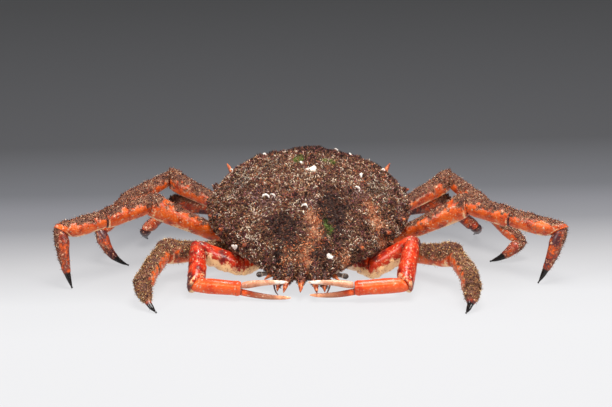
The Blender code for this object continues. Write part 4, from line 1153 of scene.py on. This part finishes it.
flap_y, flap_rise, flap_bend, flap_half = between(FLAP_STATIONS, 100)
plates = 1 - 0.16 * sum(near(flap_y, edge, 0.0007) for edge in PLATE_EDGES)
turn, tilt = around(48)[..., 0], np.radians(flap_bend)
across = squared(np.cos(turn)) * flap_half * (0.5 + 0.5 * plates)
above = squared(np.sin(turn)) * FLAP_THICKNESS * plates
flap = np.stack([
    across, flap_y - np.sin(tilt) * above, FLAP_THICKNESS + flap_rise + np.cos(tilt) * above,
], -1)
flap[..., 2] = np.maximum(flap[..., 2], 0.0)
skin("abdomen_shell", [flap], belly_finish, "belly_shell", ["abdomen"], dark=[3 * (1 - plates)])


# The eyes on short thick grey-brown stalks, and the two thin feelers that hang from under the snout.
EYESTALK_START, EYESTALK_END, EYESTALK_RADIUS = (0.0228, -0.0690, 0.0104), (0.0320, -0.0745, 0.0108), 0.0020
FEELER_RADIUS, FEELER_RINGING = 0.0008, 95
EYESTALK_SWELLING = ((0.0, 0.72), (0.15, 0.85), (0.55, 0.80), (0.75, 1.0), (0.92, 0.86), (1.0, 0.45))
eyestalk_finish = cooked_shell(
    "eyestalk_shell", paint(70, 58, 50), paint(104, 90, 80), paint(146, 130, 118), paint(180, 166, 152), 0.18,
)
antenna_finish = cooked_shell(
    "antenna_shell", paint(60, 20, 14), paint(98, 36, 24), paint(140, 64, 42), paint(186, 124, 96), 0.35,
)
for side, sign in (("left", 1), ("right", -1)):
    start, end = np.array(mirrored(EYESTALK_START, sign)), np.array(mirrored(EYESTALK_END, sign))
    across, up = side_and_up(unit(end - start), np.array([0.0, 0.0, 1.0]))
    s, turn = crowded(40)[:, None, None], around(32)
    ring = EYESTALK_RADIUS * eased(EYESTALK_SWELLING, s) * (np.cos(turn) * across + np.sin(turn) * up)
    stalk = start + (end - start) * s + ring
    eye = smooth(0.74, 0.80, s[..., 0])
    skin(
        f"eyestalk_{side}_shell", [turn_body(stalk)], eyestalk_finish, "eyestalk_shell", [f"eyestalk_{side}"],
        black=[0.75 * eye], pale=[near(s[..., 0], 0.68, 0.05)],
    )
    s = np.linspace(0, 1, 60)[:, None, None]
    line = np.concatenate([
        sign * (0.0198 - 0.0038 * s**2), -0.0765 - 0.0125 * s, 0.0090 - 0.0070 * np.sin(1.5 * s),
    ], -1)
    thick = FEELER_RADIUS * (1 - 0.6 * s) * (1 + 0.12 * np.sin(FEELER_RINGING * s))
    across, up = side_and_up(np.array([0.0, -1.0, 0.0]), np.array([0.0, 0.45, 0.89]))
    turn = around(12)
    feeler = turn_body(line + thick * (np.cos(turn) * across + np.sin(turn) * up))
    skin(
        f"antenna_{side}_shell", [feeler], antenna_finish, "antenna_shell", [f"antenna_{side}"],
        dark=[0.5 + 0.5 * np.sin(FEELER_RINGING * s[..., 0])],
    )
